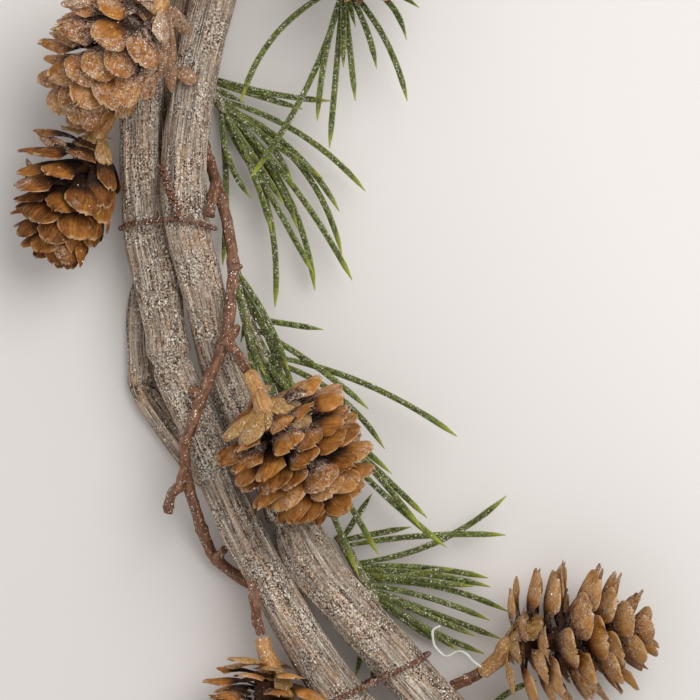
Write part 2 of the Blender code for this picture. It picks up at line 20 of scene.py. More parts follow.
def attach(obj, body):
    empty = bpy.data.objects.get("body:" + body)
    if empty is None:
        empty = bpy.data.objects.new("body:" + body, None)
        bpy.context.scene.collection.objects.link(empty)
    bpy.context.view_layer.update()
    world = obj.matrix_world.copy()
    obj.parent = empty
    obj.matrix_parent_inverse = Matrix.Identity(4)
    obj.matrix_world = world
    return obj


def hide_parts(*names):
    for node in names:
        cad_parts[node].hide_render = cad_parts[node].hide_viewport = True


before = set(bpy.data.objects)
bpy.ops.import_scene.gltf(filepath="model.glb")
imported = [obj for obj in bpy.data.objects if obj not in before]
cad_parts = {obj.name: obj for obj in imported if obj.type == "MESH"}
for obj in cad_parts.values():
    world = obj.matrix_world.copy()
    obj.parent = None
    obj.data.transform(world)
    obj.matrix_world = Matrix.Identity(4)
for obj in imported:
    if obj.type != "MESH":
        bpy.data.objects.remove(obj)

log = logging.getLogger("wreath")

MM = 0.001  # metres to a millimetre
TO_MM = 1000.0  # millimetres to a metre
UP = Vector((0.0, 0.0, 1.0))
GOLDEN_ANGLE = math.radians(137.508)
FULL_TURN = 6.28  # radians
GRAINS_PER_METRE = 1e6  # grains to a square metre for one to a square millimetre

Row = tuple[float, ...]
Colour = tuple[float, float, float]
Screen = tuple[int, int, int]  # red, green and blue from 0 to 255
Spot = tuple[float, float, float]
Settings = dict[str, Any]
Inputs = dict[Any, Any]
Table = Sequence[Any]
Material = bpy.types.Material


def linear(*screen: int) -> Colour:
    """Turns a screen colour into the linear one that a shader takes.

    Args:
        screen: Red, green and blue from 0 to 255.

    Returns:
        The linear colour.
    """
    values = [value / 255 for value in screen]
    red, green, blue = (v / 12.92 if v <= 0.04045 else ((v + 0.055) / 1.055) ** 2.4 for v in values)
    return red, green, blue


# --- node trees ---


def operator(operation: str, swapped: bool = False) -> "Callable[..., Term]":
    """Makes an operator out of a Math node.

    Args:
        operation: What the node does.
        swapped: Whether the term comes second, as in a reflected form.

    Returns:
        The method.
    """

    def add_node(term: "Term", other: "Term | float" = 0.0) -> "Term":
        """Adds the node."""
        return term.graph.math(operation, *((other, term) if swapped else (term, other)))

    return add_node


class Term:
    """A socket in a sum. Each operator adds the Math node that it stands for."""

    def __init__(self, graph: "Graph", socket: bpy.types.NodeSocket) -> None:
        """Keeps the socket and the graph that it belongs to."""
        self.graph = graph
        self.socket = socket

    __add__, __radd__ = operator("ADD"), operator("ADD", True)
    __sub__, __rsub__ = operator("SUBTRACT"), operator("SUBTRACT", True)
    __mul__, __rmul__ = operator("MULTIPLY"), operator("MULTIPLY", True)
    __truediv__, __rtruediv__ = operator("DIVIDE"), operator("DIVIDE", True)
    __pow__ = operator("POWER")
    __abs__ = operator("ABSOLUTE")
    __gt__ = operator("GREATER_THAN")

    def limited(self) -> "Term":
        """Keeps the value from 0 to 1."""
        return self.graph.math("ADD", self, 0.0, clamp=True)


class Graph:
    """One node tree, with a single way to add a node and short forms for the common ones."""

    def __init__(self, tree: bpy.types.NodeTree) -> None:
        """Keeps the tree."""
        self.tree = tree

    @staticmethod
    def _socket(sockets: Any, key: str | int) -> bpy.types.NodeSocket:
        """Finds a socket.

        Args:
            sockets: Where to look.
            key: Its place, or its name among those in use.

        Returns:
            The socket.
        """
        if isinstance(key, int):
            return sockets[key]
        return next(s for s in sockets if s.name == key and s.enabled)

    def node(
        self, kind: str, settings: Settings | None = None, inputs: Inputs | None = None
    ) -> bpy.types.Node:
        """Adds a node.

        Args:
            kind: The node's type.
            settings: Its properties, set first; "stops" fills a colour ramp and "points" a float curve.
            inputs: A number, colour, vector, text or Term for each socket, by name or place.

        Returns:
            The node.
        """
        made = self.tree.nodes.new(kind)
        for name, value in (settings or {}).items():
            if name == "stops":
                elements = made.color_ramp.elements
                while len(elements) < len(value):
                    elements.new(0.5)
                for element, (spot, colour) in zip(elements, value):
                    element.position = spot
                    element.color = (*colour, 1.0)
            elif name == "points":
                curve = made.mapping.curves[0]
                while len(curve.points) < len(value):
                    curve.points.new(0.5, 0.5)
                for point, spot in zip(curve.points, value):
                    point.location = spot
                made.mapping.update()
            else:
                setattr(made, name, value)
        for key, value in (inputs or {}).items():
            socket = self._socket(made.inputs, key)
            if isinstance(value, Term):
                self.tree.links.new(value.socket, socket)
            elif socket.type == "RGBA" and len(value) == 3:
                socket.default_value = (*value, 1.0)
            else:
                socket.default_value = value
        return made

    def out(self, node: bpy.types.Node, key: str | int = 0) -> Term:
        """Wraps an output of a node, by its name or by its place among those in use."""
        shown = [s for s in node.outputs if s.enabled]
        return Term(self, shown[key] if isinstance(key, int) else self._socket(node.outputs, key))

    def math(self, operation: str, first: Any, second: Any = 0.0, clamp: bool = False) -> Term:
        """Adds a Math node and wraps its result."""
        settings = {"operation": operation, "use_clamp": clamp}
        return self.out(self.node("ShaderNodeMath", settings, {0: first, 1: second}))

    def vector(self, operation: str, first: Any, second: Any) -> Term:
        """Adds a Vector Math node.

        Args:
            operation: What the node does.
            first: A vector.
            second: Another, or a number for SCALE.

        Returns:
            Its result.
        """
        key = "Scale" if operation == "SCALE" else 1
        node = self.node("ShaderNodeVectorMath", {"operation": operation}, {0: first, key: second})
        return self.out(node, "Vector")

    def smooth(self, value: Term, low: float, high: float) -> Term:
        """Rises smoothly, or falls where low is the greater.

        Args:
            value: What it follows.
            low: Where it is 0.
            high: Where it is 1.

        Returns:
            The share risen.
        """
        flip = low > high
        bottom, top = (high, low) if flip else (low, high)
        ends = {"From Min": bottom, "From Max": top, "To Min": float(flip), "To Max": float(not flip)}
        settings = {"interpolation_type": "SMOOTHSTEP"}
        return self.out(self.node("ShaderNodeMapRange", settings, {"Value": value, **ends}))

    def noise(self, where: Term, scale: float, detail: float = 2.0, rough: float = 0.5) -> Term:
        """Adds a noise of about 0.5, with this many waves to a unit."""
        inputs = {"Vector": where, "Scale": scale, "Detail": detail, "Roughness": rough}
        return self.out(self.node("ShaderNodeTexNoise", None, inputs))

    def grains(self, where: Term, size: float, share: float) -> Term:
        """Masks round grains.

        Args:
            where: The coordinates.
            size: Their size.
            share: How many of their places they fill.

        Returns:
            The mask.
        """
        node = self.node("ShaderNodeTexVoronoi", None, {"Vector": where, "Scale": 1 / size})
        chance = self.split(self.out(node, "Color"))[0]
        return self.smooth(self.out(node, "Distance"), 0.5, 0.3) * (chance > 1 - share)

    def glitter(self, where: Term, share: float, size: float) -> Term:
        """Masks grains of this size in this share of their places, and fewer that are larger."""
        coarse = self.grains(self.vector("ADD", where, (3.7, 9.1, 5.3)), size * 1.65, share * 0.35)
        return self.math("MAXIMUM", self.grains(where, size, share), coarse)

    def mix(self, factor: Any, first: Any, second: Any, blend: str = "MIX") -> Term:
        """Mixes two colours.

        Args:
            factor: How much of the second.
            first: The first.
            second: The second.
            blend: How they mix.

        Returns:
            The mixed colour.
        """
        settings = {"data_type": "RGBA", "blend_type": blend}
        node = self.node("ShaderNodeMix", settings, {"Factor": factor, "A": first, "B": second})
        return self.out(node, "Result")

    def ramp(self, value: Term, stops: Sequence[tuple[float, Colour]]) -> Term:
        """Colours a value by these stops."""
        return self.out(self.node("ShaderNodeValToRGB", {"stops": stops}, {0: value}), "Color")

    def shape(self, value: Term, points: Sequence[tuple[float, float]]) -> Term:
        """Bends a value along a curve through these points."""
        return self.out(self.node("ShaderNodeFloatCurve", {"points": points}, {"Value": value}))

    def combine(self, x: Any, y: Any, z: Any) -> Term:
        """Makes a vector of three values."""
        return self.out(self.node("ShaderNodeCombineXYZ", None, {0: x, 1: y, 2: z}))

    def split(self, vector: Term) -> tuple[Term, Term, Term]:
        """Takes a vector apart."""
        node = self.node("ShaderNodeSeparateXYZ", None, {0: vector})
        return self.out(node, 0), self.out(node, 1), self.out(node, 2)


class Shading(Graph):
    """A material's node tree."""

    def __init__(self, name: str) -> None:
        """Starts a material with an empty tree.

        Args:
            name: The material's name.
        """
        self.material = bpy.data.materials.new(name)
        self.material.use_nodes = True
        self.material.node_tree.nodes.clear()
        super().__init__(self.material.node_tree)

    def here(self) -> Term:
        """Gives the place on the piece in millimetres."""
        spot = self.out(self.node("ShaderNodeTexCoord"), "Object")
        return self.vector("SCALE", spot, TO_MM)

    def facing_up(self) -> Term:
        """Gives how far the surface faces up, from -1 to 1."""
        return self.split(self.out(self.node("ShaderNodeNewGeometry"), "Normal"))[2]

    def value(self, name: str) -> Term:
        """Reads a number that the mesh carries."""
        return self.out(self.node("ShaderNodeAttribute", {"attribute_name": name}), "Fac")

    def triple(self, name: str) -> Term:
        """Reads a vector that the mesh carries."""
        return self.out(self.node("ShaderNodeAttribute", {"attribute_name": name}), "Vector")

    def bump(self, height: Term, depth: float) -> Term:
        """Turns a height from 0 to 1 into a normal, for a relief of this depth in millimetres."""
        inputs = {"Height": height, "Distance": depth * MM, "Strength": 1.0}
        return self.out(self.node("ShaderNodeBump", None, inputs))

    def surface(self, colour: Term, rough: Any, gloss: float, normal: Term) -> Material:
        """Ends the tree in a surface of this colour, roughness, reflection and relief."""
        inputs = {"Base Color": colour, "Roughness": rough, "Normal": normal, "Specular IOR Level": gloss}
        return self.close(inputs)

    def close(self, inputs: Inputs) -> Material:
        """Ends the tree in a Principled shader.

        Args:
            inputs: Its sockets.

        Returns:
            The material.
        """
        shader = self.node("ShaderNodeBsdfPrincipled", None, inputs)
        self.node("ShaderNodeOutputMaterial", None, {"Surface": self.out(shader)})
        return self.material


class Growth(Graph):
    """A Geometry Nodes tree with named inputs."""

    def __init__(self, name: str, sizes: Sequence[str], others: dict[str, str]) -> None:
        """Starts a tree that takes a geometry, these inputs and a finish.

        Args:
            name: The tree's name.
            sizes: The inputs that are numbers.
            others: The type of each other input, by name.
        """
        super().__init__(bpy.data.node_groups.new(name, "GeometryNodeTree"))
        face = self.tree.interface
        kinds = {"Geometry": "Geometry", **dict.fromkeys(sizes, "Float"), **others, "Finish": "Material"}
        for label, kind in kinds.items():
            face.new_socket(label, in_out="INPUT", socket_type=f"NodeSocket{kind}")
        face.new_socket("Geometry", in_out="OUTPUT", socket_type="NodeSocketGeometry")
        self.entry = self.node("NodeGroupInput")

    def given(self, name: str) -> Term:
        """Gives one of the tree's inputs."""
        return self.out(self.entry, name)

    def step(self, kind: str, inputs: Inputs, settings: Settings | None = None) -> Term:
        """Adds a geometry node and wraps its first output."""
        return self.out(self.node(f"GeometryNode{kind}", settings, inputs))

    def read(self, name: str, kind: str = "FLOAT") -> Term:
        """Reads an attribute."""
        node = self.node("GeometryNodeInputNamedAttribute", {"data_type": kind}, {"Name": name})
        return self.out(node, "Attribute")

    def keep(self, geometry: Term, name: str, value: Any, kind: str = "FLOAT") -> Term:
        """Stores an attribute of each point."""
        inputs = {"Geometry": geometry, "Name": name, "Value": value}
        return self.step("StoreNamedAttribute", inputs, {"data_type": kind, "domain": "POINT"})

    def join(self, last: Term, first: Term) -> Term:
        """Joins two geometries.

        Args:
            last: The one that comes last in the result.
            first: The one that comes first.

        Returns:
            The result.
        """
        whole = self.step("JoinGeometry", {"Geometry": last})
        self.tree.links.new(first.socket, whole.socket.node.inputs[0])
        return whole

    def scattered(self, points: Term, inputs: Inputs) -> Term:
        """Sets instances on points and makes them real."""
        placed = self.step("InstanceOnPoints", {"Points": points, **inputs})
        return self.step("RealizeInstances", {"Geometry": placed})

    def finished(self, geometry: Term) -> Term:
        """Gives a geometry the tree's finish."""
        return self.step("SetMaterial", {"Geometry": geometry, "Material": self.given("Finish")})

    def chance(self, low: float, high: float, salt: int) -> Term:
        """Draws a number for each point from the tree's Seed and a salt."""
        inputs = {"Min": low, "Max": high, "Seed": self.given("Seed") + salt * 17.0}
        return self.out(self.node("FunctionNodeRandomValue", {"data_type": "FLOAT"}, inputs))

    def close(self, geometry: Term) -> bpy.types.NodeTree:
        """Ends the tree in this geometry.

        Args:
            geometry: What the tree gives.

        Returns:
            The tree.
        """
        self.node("NodeGroupOutput", None, {"Geometry": geometry})
        return self.tree

    @staticmethod
    def bake(piece: bpy.types.Object, tree: bpy.types.NodeTree, inputs: Inputs) -> None:
        """Runs a tree on an object and keeps the result as its plain mesh.

        Args:
            piece: The object.
            tree: The tree.
            inputs: A value for each of the tree's inputs, by name.
        """
        grown = piece.modifiers.new("grown", "NODES")
        grown.node_group = tree
        for item in tree.interface.items_tree:
            if item.item_type == "SOCKET" and item.in_out == "INPUT" and item.name in inputs:
                grown[item.identifier] = inputs[item.name]
        bpy.context.view_layer.update()
        graph = bpy.context.evaluated_depsgraph_get()
        mesh = bpy.data.meshes.new_from_object(piece.evaluated_get(graph))
        piece.modifiers.clear()
        piece.data = mesh


class Twist(Enum):
    """How a tube's cross-section turns along its path."""

    LEVEL = "Z_UP"
    LEAST = "MINIMUM_TWIST"


CRACK_SHARPNESS = 11.0  # how narrow a furrow is beside the distance to the next
SEED_SHIFT = 31.7  # millimetres of bark between one seed's pattern and the next
FLOOR_GAP = 0.0002  # metres that the bark stays clear of the floor


def sweep_tree(twist: Twist) -> bpy.types.NodeTree:
    """Builds the tree that turns poly-lines into tubes with ridges, furrows and lumps.

    The lines carry "thick", the radius in metres. The tubes carry "along" in millimetres, "share" from 0
    to 1, "turn", the direction in the cross-section, and "grain", the place on the unrolled bark.

    Args:
        twist: How the cross-section turns.

    Returns:
        The tree.
    """
    relief = ("Ridge", "Ridge Size", "Furrow", "Furrow Size", "Stretch", "Lump", "Lump Size")
    g = Growth(f"sweep {twist.name.lower()}", ("Flatness", *relief, "Seed"), {"Sides": "Int"})
    curve = g.step("MeshToCurve", {"Mesh": g.given("Geometry")})
    curve = g.step("SetCurveNormal", {"Curve": curve}, {"mode": twist.value})
    spline = g.node("GeometryNodeSplineParameter")
    curve = g.keep(curve, "along", g.out(spline, "Length") * TO_MM)
    curve = g.keep(curve, "share", g.out(spline, "Factor"))
    circle = g.step("CurvePrimitiveCircle", {"Resolution": g.given("Sides"), "Radius": 1.0})
    spot = g.out(g.node("GeometryNodeInputPosition"))
    circle = g.keep(circle, "turn", spot, "FLOAT_VECTOR")
    circle = g.step("Transform", {"Geometry": circle, "Scale": g.combine(1.0, g.given("Flatness"), 1.0)})
    inputs = {"Curve": curve, "Profile Curve": circle, "Scale": g.read("thick"), "Fill Caps": True}
    tube = g.step("CurveToMesh", inputs)
    across, over, _ = g.split(g.read("turn", "FLOAT_VECTOR"))
    thick = g.read("thick") * TO_MM
    tube = g.keep(tube, "grain", g.combine(across * thick, over * thick, g.read("along")), "FLOAT_VECTOR")
    grain, shift = g.read("grain", "FLOAT_VECTOR"), g.combine(g.given("Seed") * SEED_SHIFT, 0.0, 0.0)
    grain = g.vector("ADD", grain, shift)
    drawn = g.vector("MULTIPLY", grain, g.combine(1.0, 1.0, g.given("Stretch")))

    def waves(where: Term, size: str) -> Term:
        """Varies from -0.5 to 0.5 over this size."""
        return g.noise(g.vector("SCALE", where, 1 / g.given(size)), 1.0, 1.0) - 0.5

    ridge = waves(drawn, "Ridge Size")
    furrow = (1 - abs(waves(drawn, "Furrow Size")) * CRACK_SHARPNESS).limited()
    lump = waves(grain, "Lump Size")
    rise = ridge * 2.0 * g.given("Ridge") - furrow * g.given("Furrow") + lump * 2.0 * g.given("Lump")
    normal = g.out(g.node("GeometryNodeInputNormal"))
    tube = g.step("SetPosition", {"Geometry": tube, "Offset": g.vector("SCALE", normal, rise * MM)})
    x, y, z = g.split(spot)
    clear = g.combine(x, y, g.math("MAXIMUM", z, FLOOR_GAP))
    tube = g.step("SetPosition", {"Geometry": tube, "Position": clear})
    tube = g.step("SetShadeSmooth", {"Geometry": tube})
    return g.close(g.finished(g.step("RealizeInstances", {"Geometry": tube})))


def cone_tree() -> bpy.types.NodeTree:
    """Builds the tree that sets scales round an axis in the spiral of a cone.

    The cone stands on the origin along +Z. Its scales carry "reach" from root to edge, "across", "shade", a
    number of their own, and the cone's "tint" and "icing".

    Returns:
        The tree.
    """
    angles = ("Open", "Tip Open", "Against")
    sizes = ("Length", "Scale Size", "Core", *angles, "Foot", "Press", "Seed", "Tint", "Icing")
    g = Growth("cone", sizes, {"Count": "Int", "Scales": "Collection"})
    count, length, seed = g.given("Count"), g.given("Length"), g.given("Seed")
    tip_open, foot, size = g.given("Tip Open"), g.given("Foot"), g.given("Scale Size")
    index = g.out(g.node("GeometryNodeInputIndex"))
    share = (index + 0.5) / count
    angle = index * GOLDEN_ANGLE + g.chance(-0.16, 0.16, 1)
    core = g.given("Core") * g.shape(share, ((0.0, 0.75), (0.3, 1.0), (0.75, 0.75), (1.0, 0.2)))
    height = length * (share * 0.86 + 0.01)
    position = g.combine(core * g.math("COSINE", angle), core * g.math("SINE", angle), height)
    points = g.step("Points", {"Count": count, "Position": position, "Radius": 0.001})
    points = g.keep(points, "shade", g.chance(0.0, 1.0, 2))
    spread = g.shape(share, ((0.0, 1.0), (0.2, 0.78), (0.5, 0.6), (0.8, 0.36), (1.0, 0.02)))
    near = g.smooth(g.math("COSINE", angle - g.given("Against")), 0.0, 0.8) * g.given("Press")
    tilt = (tip_open + (g.given("Open") - tip_open) * spread) * (1 - near) + g.chance(-0.13, 0.13, 3)
    turn = g.combine(g.chance(-0.16, 0.16, 4), tilt, angle)
    taper = ((0.0, 0.88), (0.1, 1.0), (0.4, 1.0), (0.7, 0.88), (0.9, 0.66), (1.0, 0.48))
    size = size * g.shape(share, taper)
    size = size * g.chance(0.9, 1.07, 5) * (foot + (1 - foot) * g.smooth(share, 0.0, 0.22))
    pool = {"Collection": g.given("Scales"), "Separate Children": True, "Reset Children": True}
    pick = {"Min": 0, "Max": len(SCALE_FORMS) - 1, "Seed": seed}
    pick = g.out(g.node("FunctionNodeRandomValue", {"data_type": "INT"}, pick))
    chosen = {"Instance": g.step("CollectionInfo", pool), "Pick Instance": True, "Instance Index": pick}
    scales = g.scattered(points, {**chosen, "Rotation": turn, "Scale": size})
    ends = {"Radius Top": g.given("Core") * 0.25, "Radius Bottom": g.given("Core")}
    whole = g.join(scales, g.step("MeshCone", {"Vertices": 14, **ends, "Depth": length * 0.95}))
    whole = g.keep(g.keep(whole, "tint", g.given("Tint")), "icing", g.given("Icing"))
    spot = g.out(g.node("GeometryNodeInputPosition"))
    return g.close(g.finished(g.keep(whole, "grain", g.vector("SCALE", spot, TO_MM), "FLOAT_VECTOR")))


def dust_tree() -> bpy.types.NodeTree:
    """Builds the tree that scatters glitter grains over a piece, most of them where it faces up.

    Returns:
        The tree.
    """
    g = Growth("dust", ("Density", "Under", "Smallest", "Largest"), {"Seed": "Int", "Grain": "Object"})
    piece, under, smallest = g.given("Geometry"), g.given("Under"), g.given("Smallest")
    normal = g.out(g.node("GeometryNodeInputNormal"))
    up = g.smooth(g.split(normal)[2], -0.1, 0.7)
    patch = g.smooth(g.noise(g.out(g.node("GeometryNodeInputPosition")), 140.0, 2.0), 0.3, 0.62)
    density = g.given("Density") * (under + (1 - under) * up) * (0.35 + 0.65 * patch)
    spots = g.step("DistributePointsOnFaces", {"Mesh": piece, "Density": density, "Seed": g.given("Seed")})
    points = g.keep(spots, "shade", g.chance(0.0, 1.0, 1))
    turn = g.combine(*(g.chance(0.0, FULL_TURN, salt) for salt in (2, 3, 4)))
    size = smallest + (g.given("Largest") - smallest) * g.chance(0.0, 1.0, 5) ** 2.0
    grain = g.out(g.node("GeometryNodeObjectInfo", None, {"Object": g.given("Grain")}), "Geometry")
    made = g.scattered(points, {"Instance": grain, "Rotation": turn, "Scale": size})
    return g.close(g.join(g.finished(made), piece))


def linked(name: str, points: Table, edges: Table, faces: Table) -> bpy.types.Object:
    """Makes an object of a new mesh and puts it in the scene.

    Args:
        name: The object's name.
        points: The mesh's points.
        edges: Its edges, where they aren't given by faces.
        faces: Its faces.

    Returns:
        The object.
    """
    mesh = bpy.data.meshes.new(name)
    mesh.from_pydata(points, edges, faces)
    made = bpy.data.objects.new(name, mesh)
    bpy.context.scene.collection.objects.link(made)
    return made


# --- layout of the wreath ---


class Side(Enum):
    """The side of the ring that a cane or a cone lies on."""

    OUTER = 1
    INNER = -1


RING_RADIUS = 165.5
RING_CENTRE = Vector((-0.34, 3.57, 0.0))  # puts the middle of the bounding box over the origin
SEAT_GAP = 0.35  # between two pieces that touch

# The two thick canes lie side by side and roll round each other.
# turn, middle of the pair out, its height, roll of the pair, half the distance between their
# centres, radius of the outer cane, radius of the inner cane
PAIR = (
    (150, 2.3, 10.9, 0, 6.0, 4.5, 4.7), (160, 2.4, 10.9, 0, 6.2, 4.4, 4.7),
    (168, 2.6, 10.9, 0, 6.3, 4.3, 4.7), (175, 3.0, 11.3, -8, 5.3, 4.4, 4.8),
    (181, 3.0, 12.8, -32, 5.0, 4.6, 4.8), (185, 2.3, 13.9, -33, 5.1, 4.9, 4.8),
    (188, 1.1, 13.8, -28, 5.0, 4.9, 4.5), (191, 0.9, 12.2, -2, 4.7, 4.2, 4.2),
    (194, 1.2, 11.4, 10, 4.9, 4.3, 4.2), (197, 0.2, 11.0, 15, 4.8, 4.2, 4.2),
    (201, -0.8, 10.9, 12, 4.8, 4.3, 4.3), (205, -1.1, 10.9, 10, 5.3, 4.3, 4.6),
    (212, -1.0, 10.9, 5, 5.5, 4.5, 4.8), (216, -1.0, 10.9, 3, 6.0, 4.7, 5.0),
    (221, -0.9, 10.9, 0, 6.8, 5.1, 5.2), (228, -0.8, 10.9, 0, 6.2, 5.0, 5.1),
    (240, 0.0, 10.9, 12, 5.5, 4.8, 4.9), (250, 0.4, 10.8, 35, 5.2, 4.7, 4.8),
    (262, 0.6, 10.0, 65, 5.1, 4.7, 4.8), (274, 0.5, 9.4, 85, 5.0, 4.7, 4.8),
    (285, 0.0, 9.3, 90, 5.0, 4.7, 4.8), (296, -0.6, 9.5, 97, 5.0, 4.6, 4.8),
    (308, -0.8, 10.3, 120, 5.0, 4.6, 4.7), (320, 0.0, 10.8, 155, 5.1, 4.6, 4.7),
    (332, 0.8, 10.9, 180, 5.2, 4.7, 4.6), (356, 0.6, 10.9, 180, 5.4, 4.8, 4.5),
    (380, 0.0, 10.9, 180, 5.3, 4.8, 4.5), (395, -0.3, 10.8, 197, 5.1, 4.7, 4.5),
    (408, -0.2, 10.4, 225, 5.1, 4.6, 4.6), (420, 0.2, 9.1, 263, 5.0, 4.6, 4.6),
    (427, 0.4, 9.0, 270, 5.0, 4.6, 4.6), (434, 0.7, 9.1, 278, 5.0, 4.6, 4.7),
    (446, 1.1, 10.3, 315, 5.1, 4.6, 4.7), (458, 1.6, 10.9, 345, 5.3, 4.5, 4.8),
    (470, 2.0, 10.9, 360, 5.6, 4.5, 4.8), (490, 2.2, 10.9, 360, 5.8, 4.5, 4.7),
    (510, 2.3, 10.9, 360, 6.0, 4.5, 4.7),
)
OUTER_ENDS = (44, 392)
INNER_ENDS = (241, 589)

# A thin cane that winds round the pair: turn, direction from the pair in the cross-section
THIN_RADIUS = 2.8
THIN_START = ((83, 205), (90, 215))
# and where it leaves the pair: turn, out, up
THIN_SEEN = (
    (96, -7.2, 5.0), (101, -3.5, 3.3), (108, 0.6, 4.0), (130, 2.2, 5.2), (165, 2.6, 4.8), (176, 0.8, 4.9),
    (181, -1.0, 5.6), (184.7, 0.4, 5.5), (186.5, 4.9, 3.0), (188.3, 9.4, 2.6), (191.0, 11.4, 2.5),
    (193.8, 12.9, 2.5), (194.7, 13.8, 2.5), (195.3, 13.5, 2.5), (197.2, 11.6, 2.5), (200.6, 8.3, 2.5),
    (204.0, 4.8, 2.5), (209.0, 2.6, 2.7), (213.0, 2.2, 3.2),
)
FAR_RADIUS = 2.4
FAR_ROUTE = (
    (256, -36), (268, -12), (285, 5), (300, 45), (315, 92), (330, 130), (346, 165), (365, 180), (400, 178),
    (426, 174), (440, 130), (456, 75),
)
THIN_GAP = 0.6  # the stand-off that keeps a winding cane clear where the pair rolls under it

LOOP_SPREAD = 0.6  # turn to each side over which a loop clears the canes
# turn on the outer side of the ring, turn on the inner side
TIES = (
    (184.3, 185.2), (219.7, 222.0), (252.0, 253.5), (331.0, 329.5), (354.5, 356.0), (380.5, 379.0),
    (404.0, 405.5), (480.5, 479.0), (503.5, 505.0),
)
LOOP_SPAN = 24.0  # the width over which a loop takes its slant
# turn, out, up
SEEN_TAILS = (
    ((184.2, -1.4, 18.4), (182.6, 0.5, 22.4), (180.9, 2.0, 22.0), (179.8, 3.3, 20.2)),
    ((220.8, -0.9, 16.6), (220.9, -0.9, 13.0), (221.0, -0.9, 9.0)),
)
TAIL_LENGTH, TAIL_BEND = 10.0, 3  # the whole tail of the far side, and up to its bend

# base and tip as turn, out, up, and the radius
CONES = (
    ((169.2, 7.0, 32.0), (176.0, 22.0, 22.0), 13.6), ((178.3, 17.4, 17.4), (185.3, 26.6, 14.4), 11.6),
    ((199.2, -10.8, 31.0), (208.3, -16.2, 19.0), 13.0), ((226.5, -28.0, 15.6), (235.4, -49.6, 14.4), 13.4),
    ((215.9, 14.6, 14.6), (221.5, 32.8, 14.0), 12.2),
)
# start of each cone's socket as turn, out, up
SOCKETS = (
    (166.9, 6.3, 20.4), (175.9, 13.6, 13.2), (196.0, -9.4, 25.5), (226.2, -19.2, 9.8),
    (213.66, 11.86, 13.75),
)

# For each twig its routes: the radius, then turn, out, up of each point.
TWIGS = {
    "long": (
        (
            1.25, (177.9, -5.3, 5.8), (179.0, -6.2, 7.2), (180.4, -7.6, 9.4), (183.6, -9.9, 12.8),
            (187.1, -10.6, 16.0), (189.4, -9.5, 17.4), (192.3, -7.1, 17.8), (193.7, -4.9, 17.6),
            (196.2, 0.7, 18.0), (198.3, 5.3, 18.6), (199.8, 8.6, 17.6), (201.8, 10.3, 14.2),
            (203.9, 11.3, 10.0), (206.0, 12.1, 6.0), (207.5, 12.1, 3.9), (209.5, 9.5, 3.2),
            (211.0, 6.6, 2.8),
        ),
        (
            1.1, (180.2, -7.4, 9.2), (180.9, -8.2, 13.0), (181.5, -7.9, 16.2), (182.4, -7.4, 19.0),
            (183.6, -6.8, 20.6),
        ),
        (1.15, (192.9, -6.4, 17.8), (194.4, -8.0, 20.8), (195.8, -9.2, 24.8)),
        (1.1, (200.8, 9.6, 16.2), (201.9, 12.2, 15.6), (202.3, 14.6, 15.0), (203.3, 16.7, 13.6)),
        (0.9, (207.3, 12.1, 4.0), (207.4, 11.2, 6.2), (207.2, 9.5, 8.6)),
    ),
    "short": ((1.2, (225.3, -12.5, 6.6), (225.8, -15.8, 7.8), (226.1, -18.6, 9.4)),),
    "side": ((1.1, (210.0, 7.2, 17.1), (211.3, 9.0, 16.6), (212.5, 10.7, 15.0), (213.4, 11.5, 14.2)),),
    "upper": ((1.1, (162.6, 8.0, 16.9), (164.8, 6.4, 18.2), (166.6, 6.2, 19.8)),),
    "outer": ((1.1, (171.6, 14.0, 11.2), (173.6, 13.6, 11.8), (175.6, 13.6, 13.0)),),
}

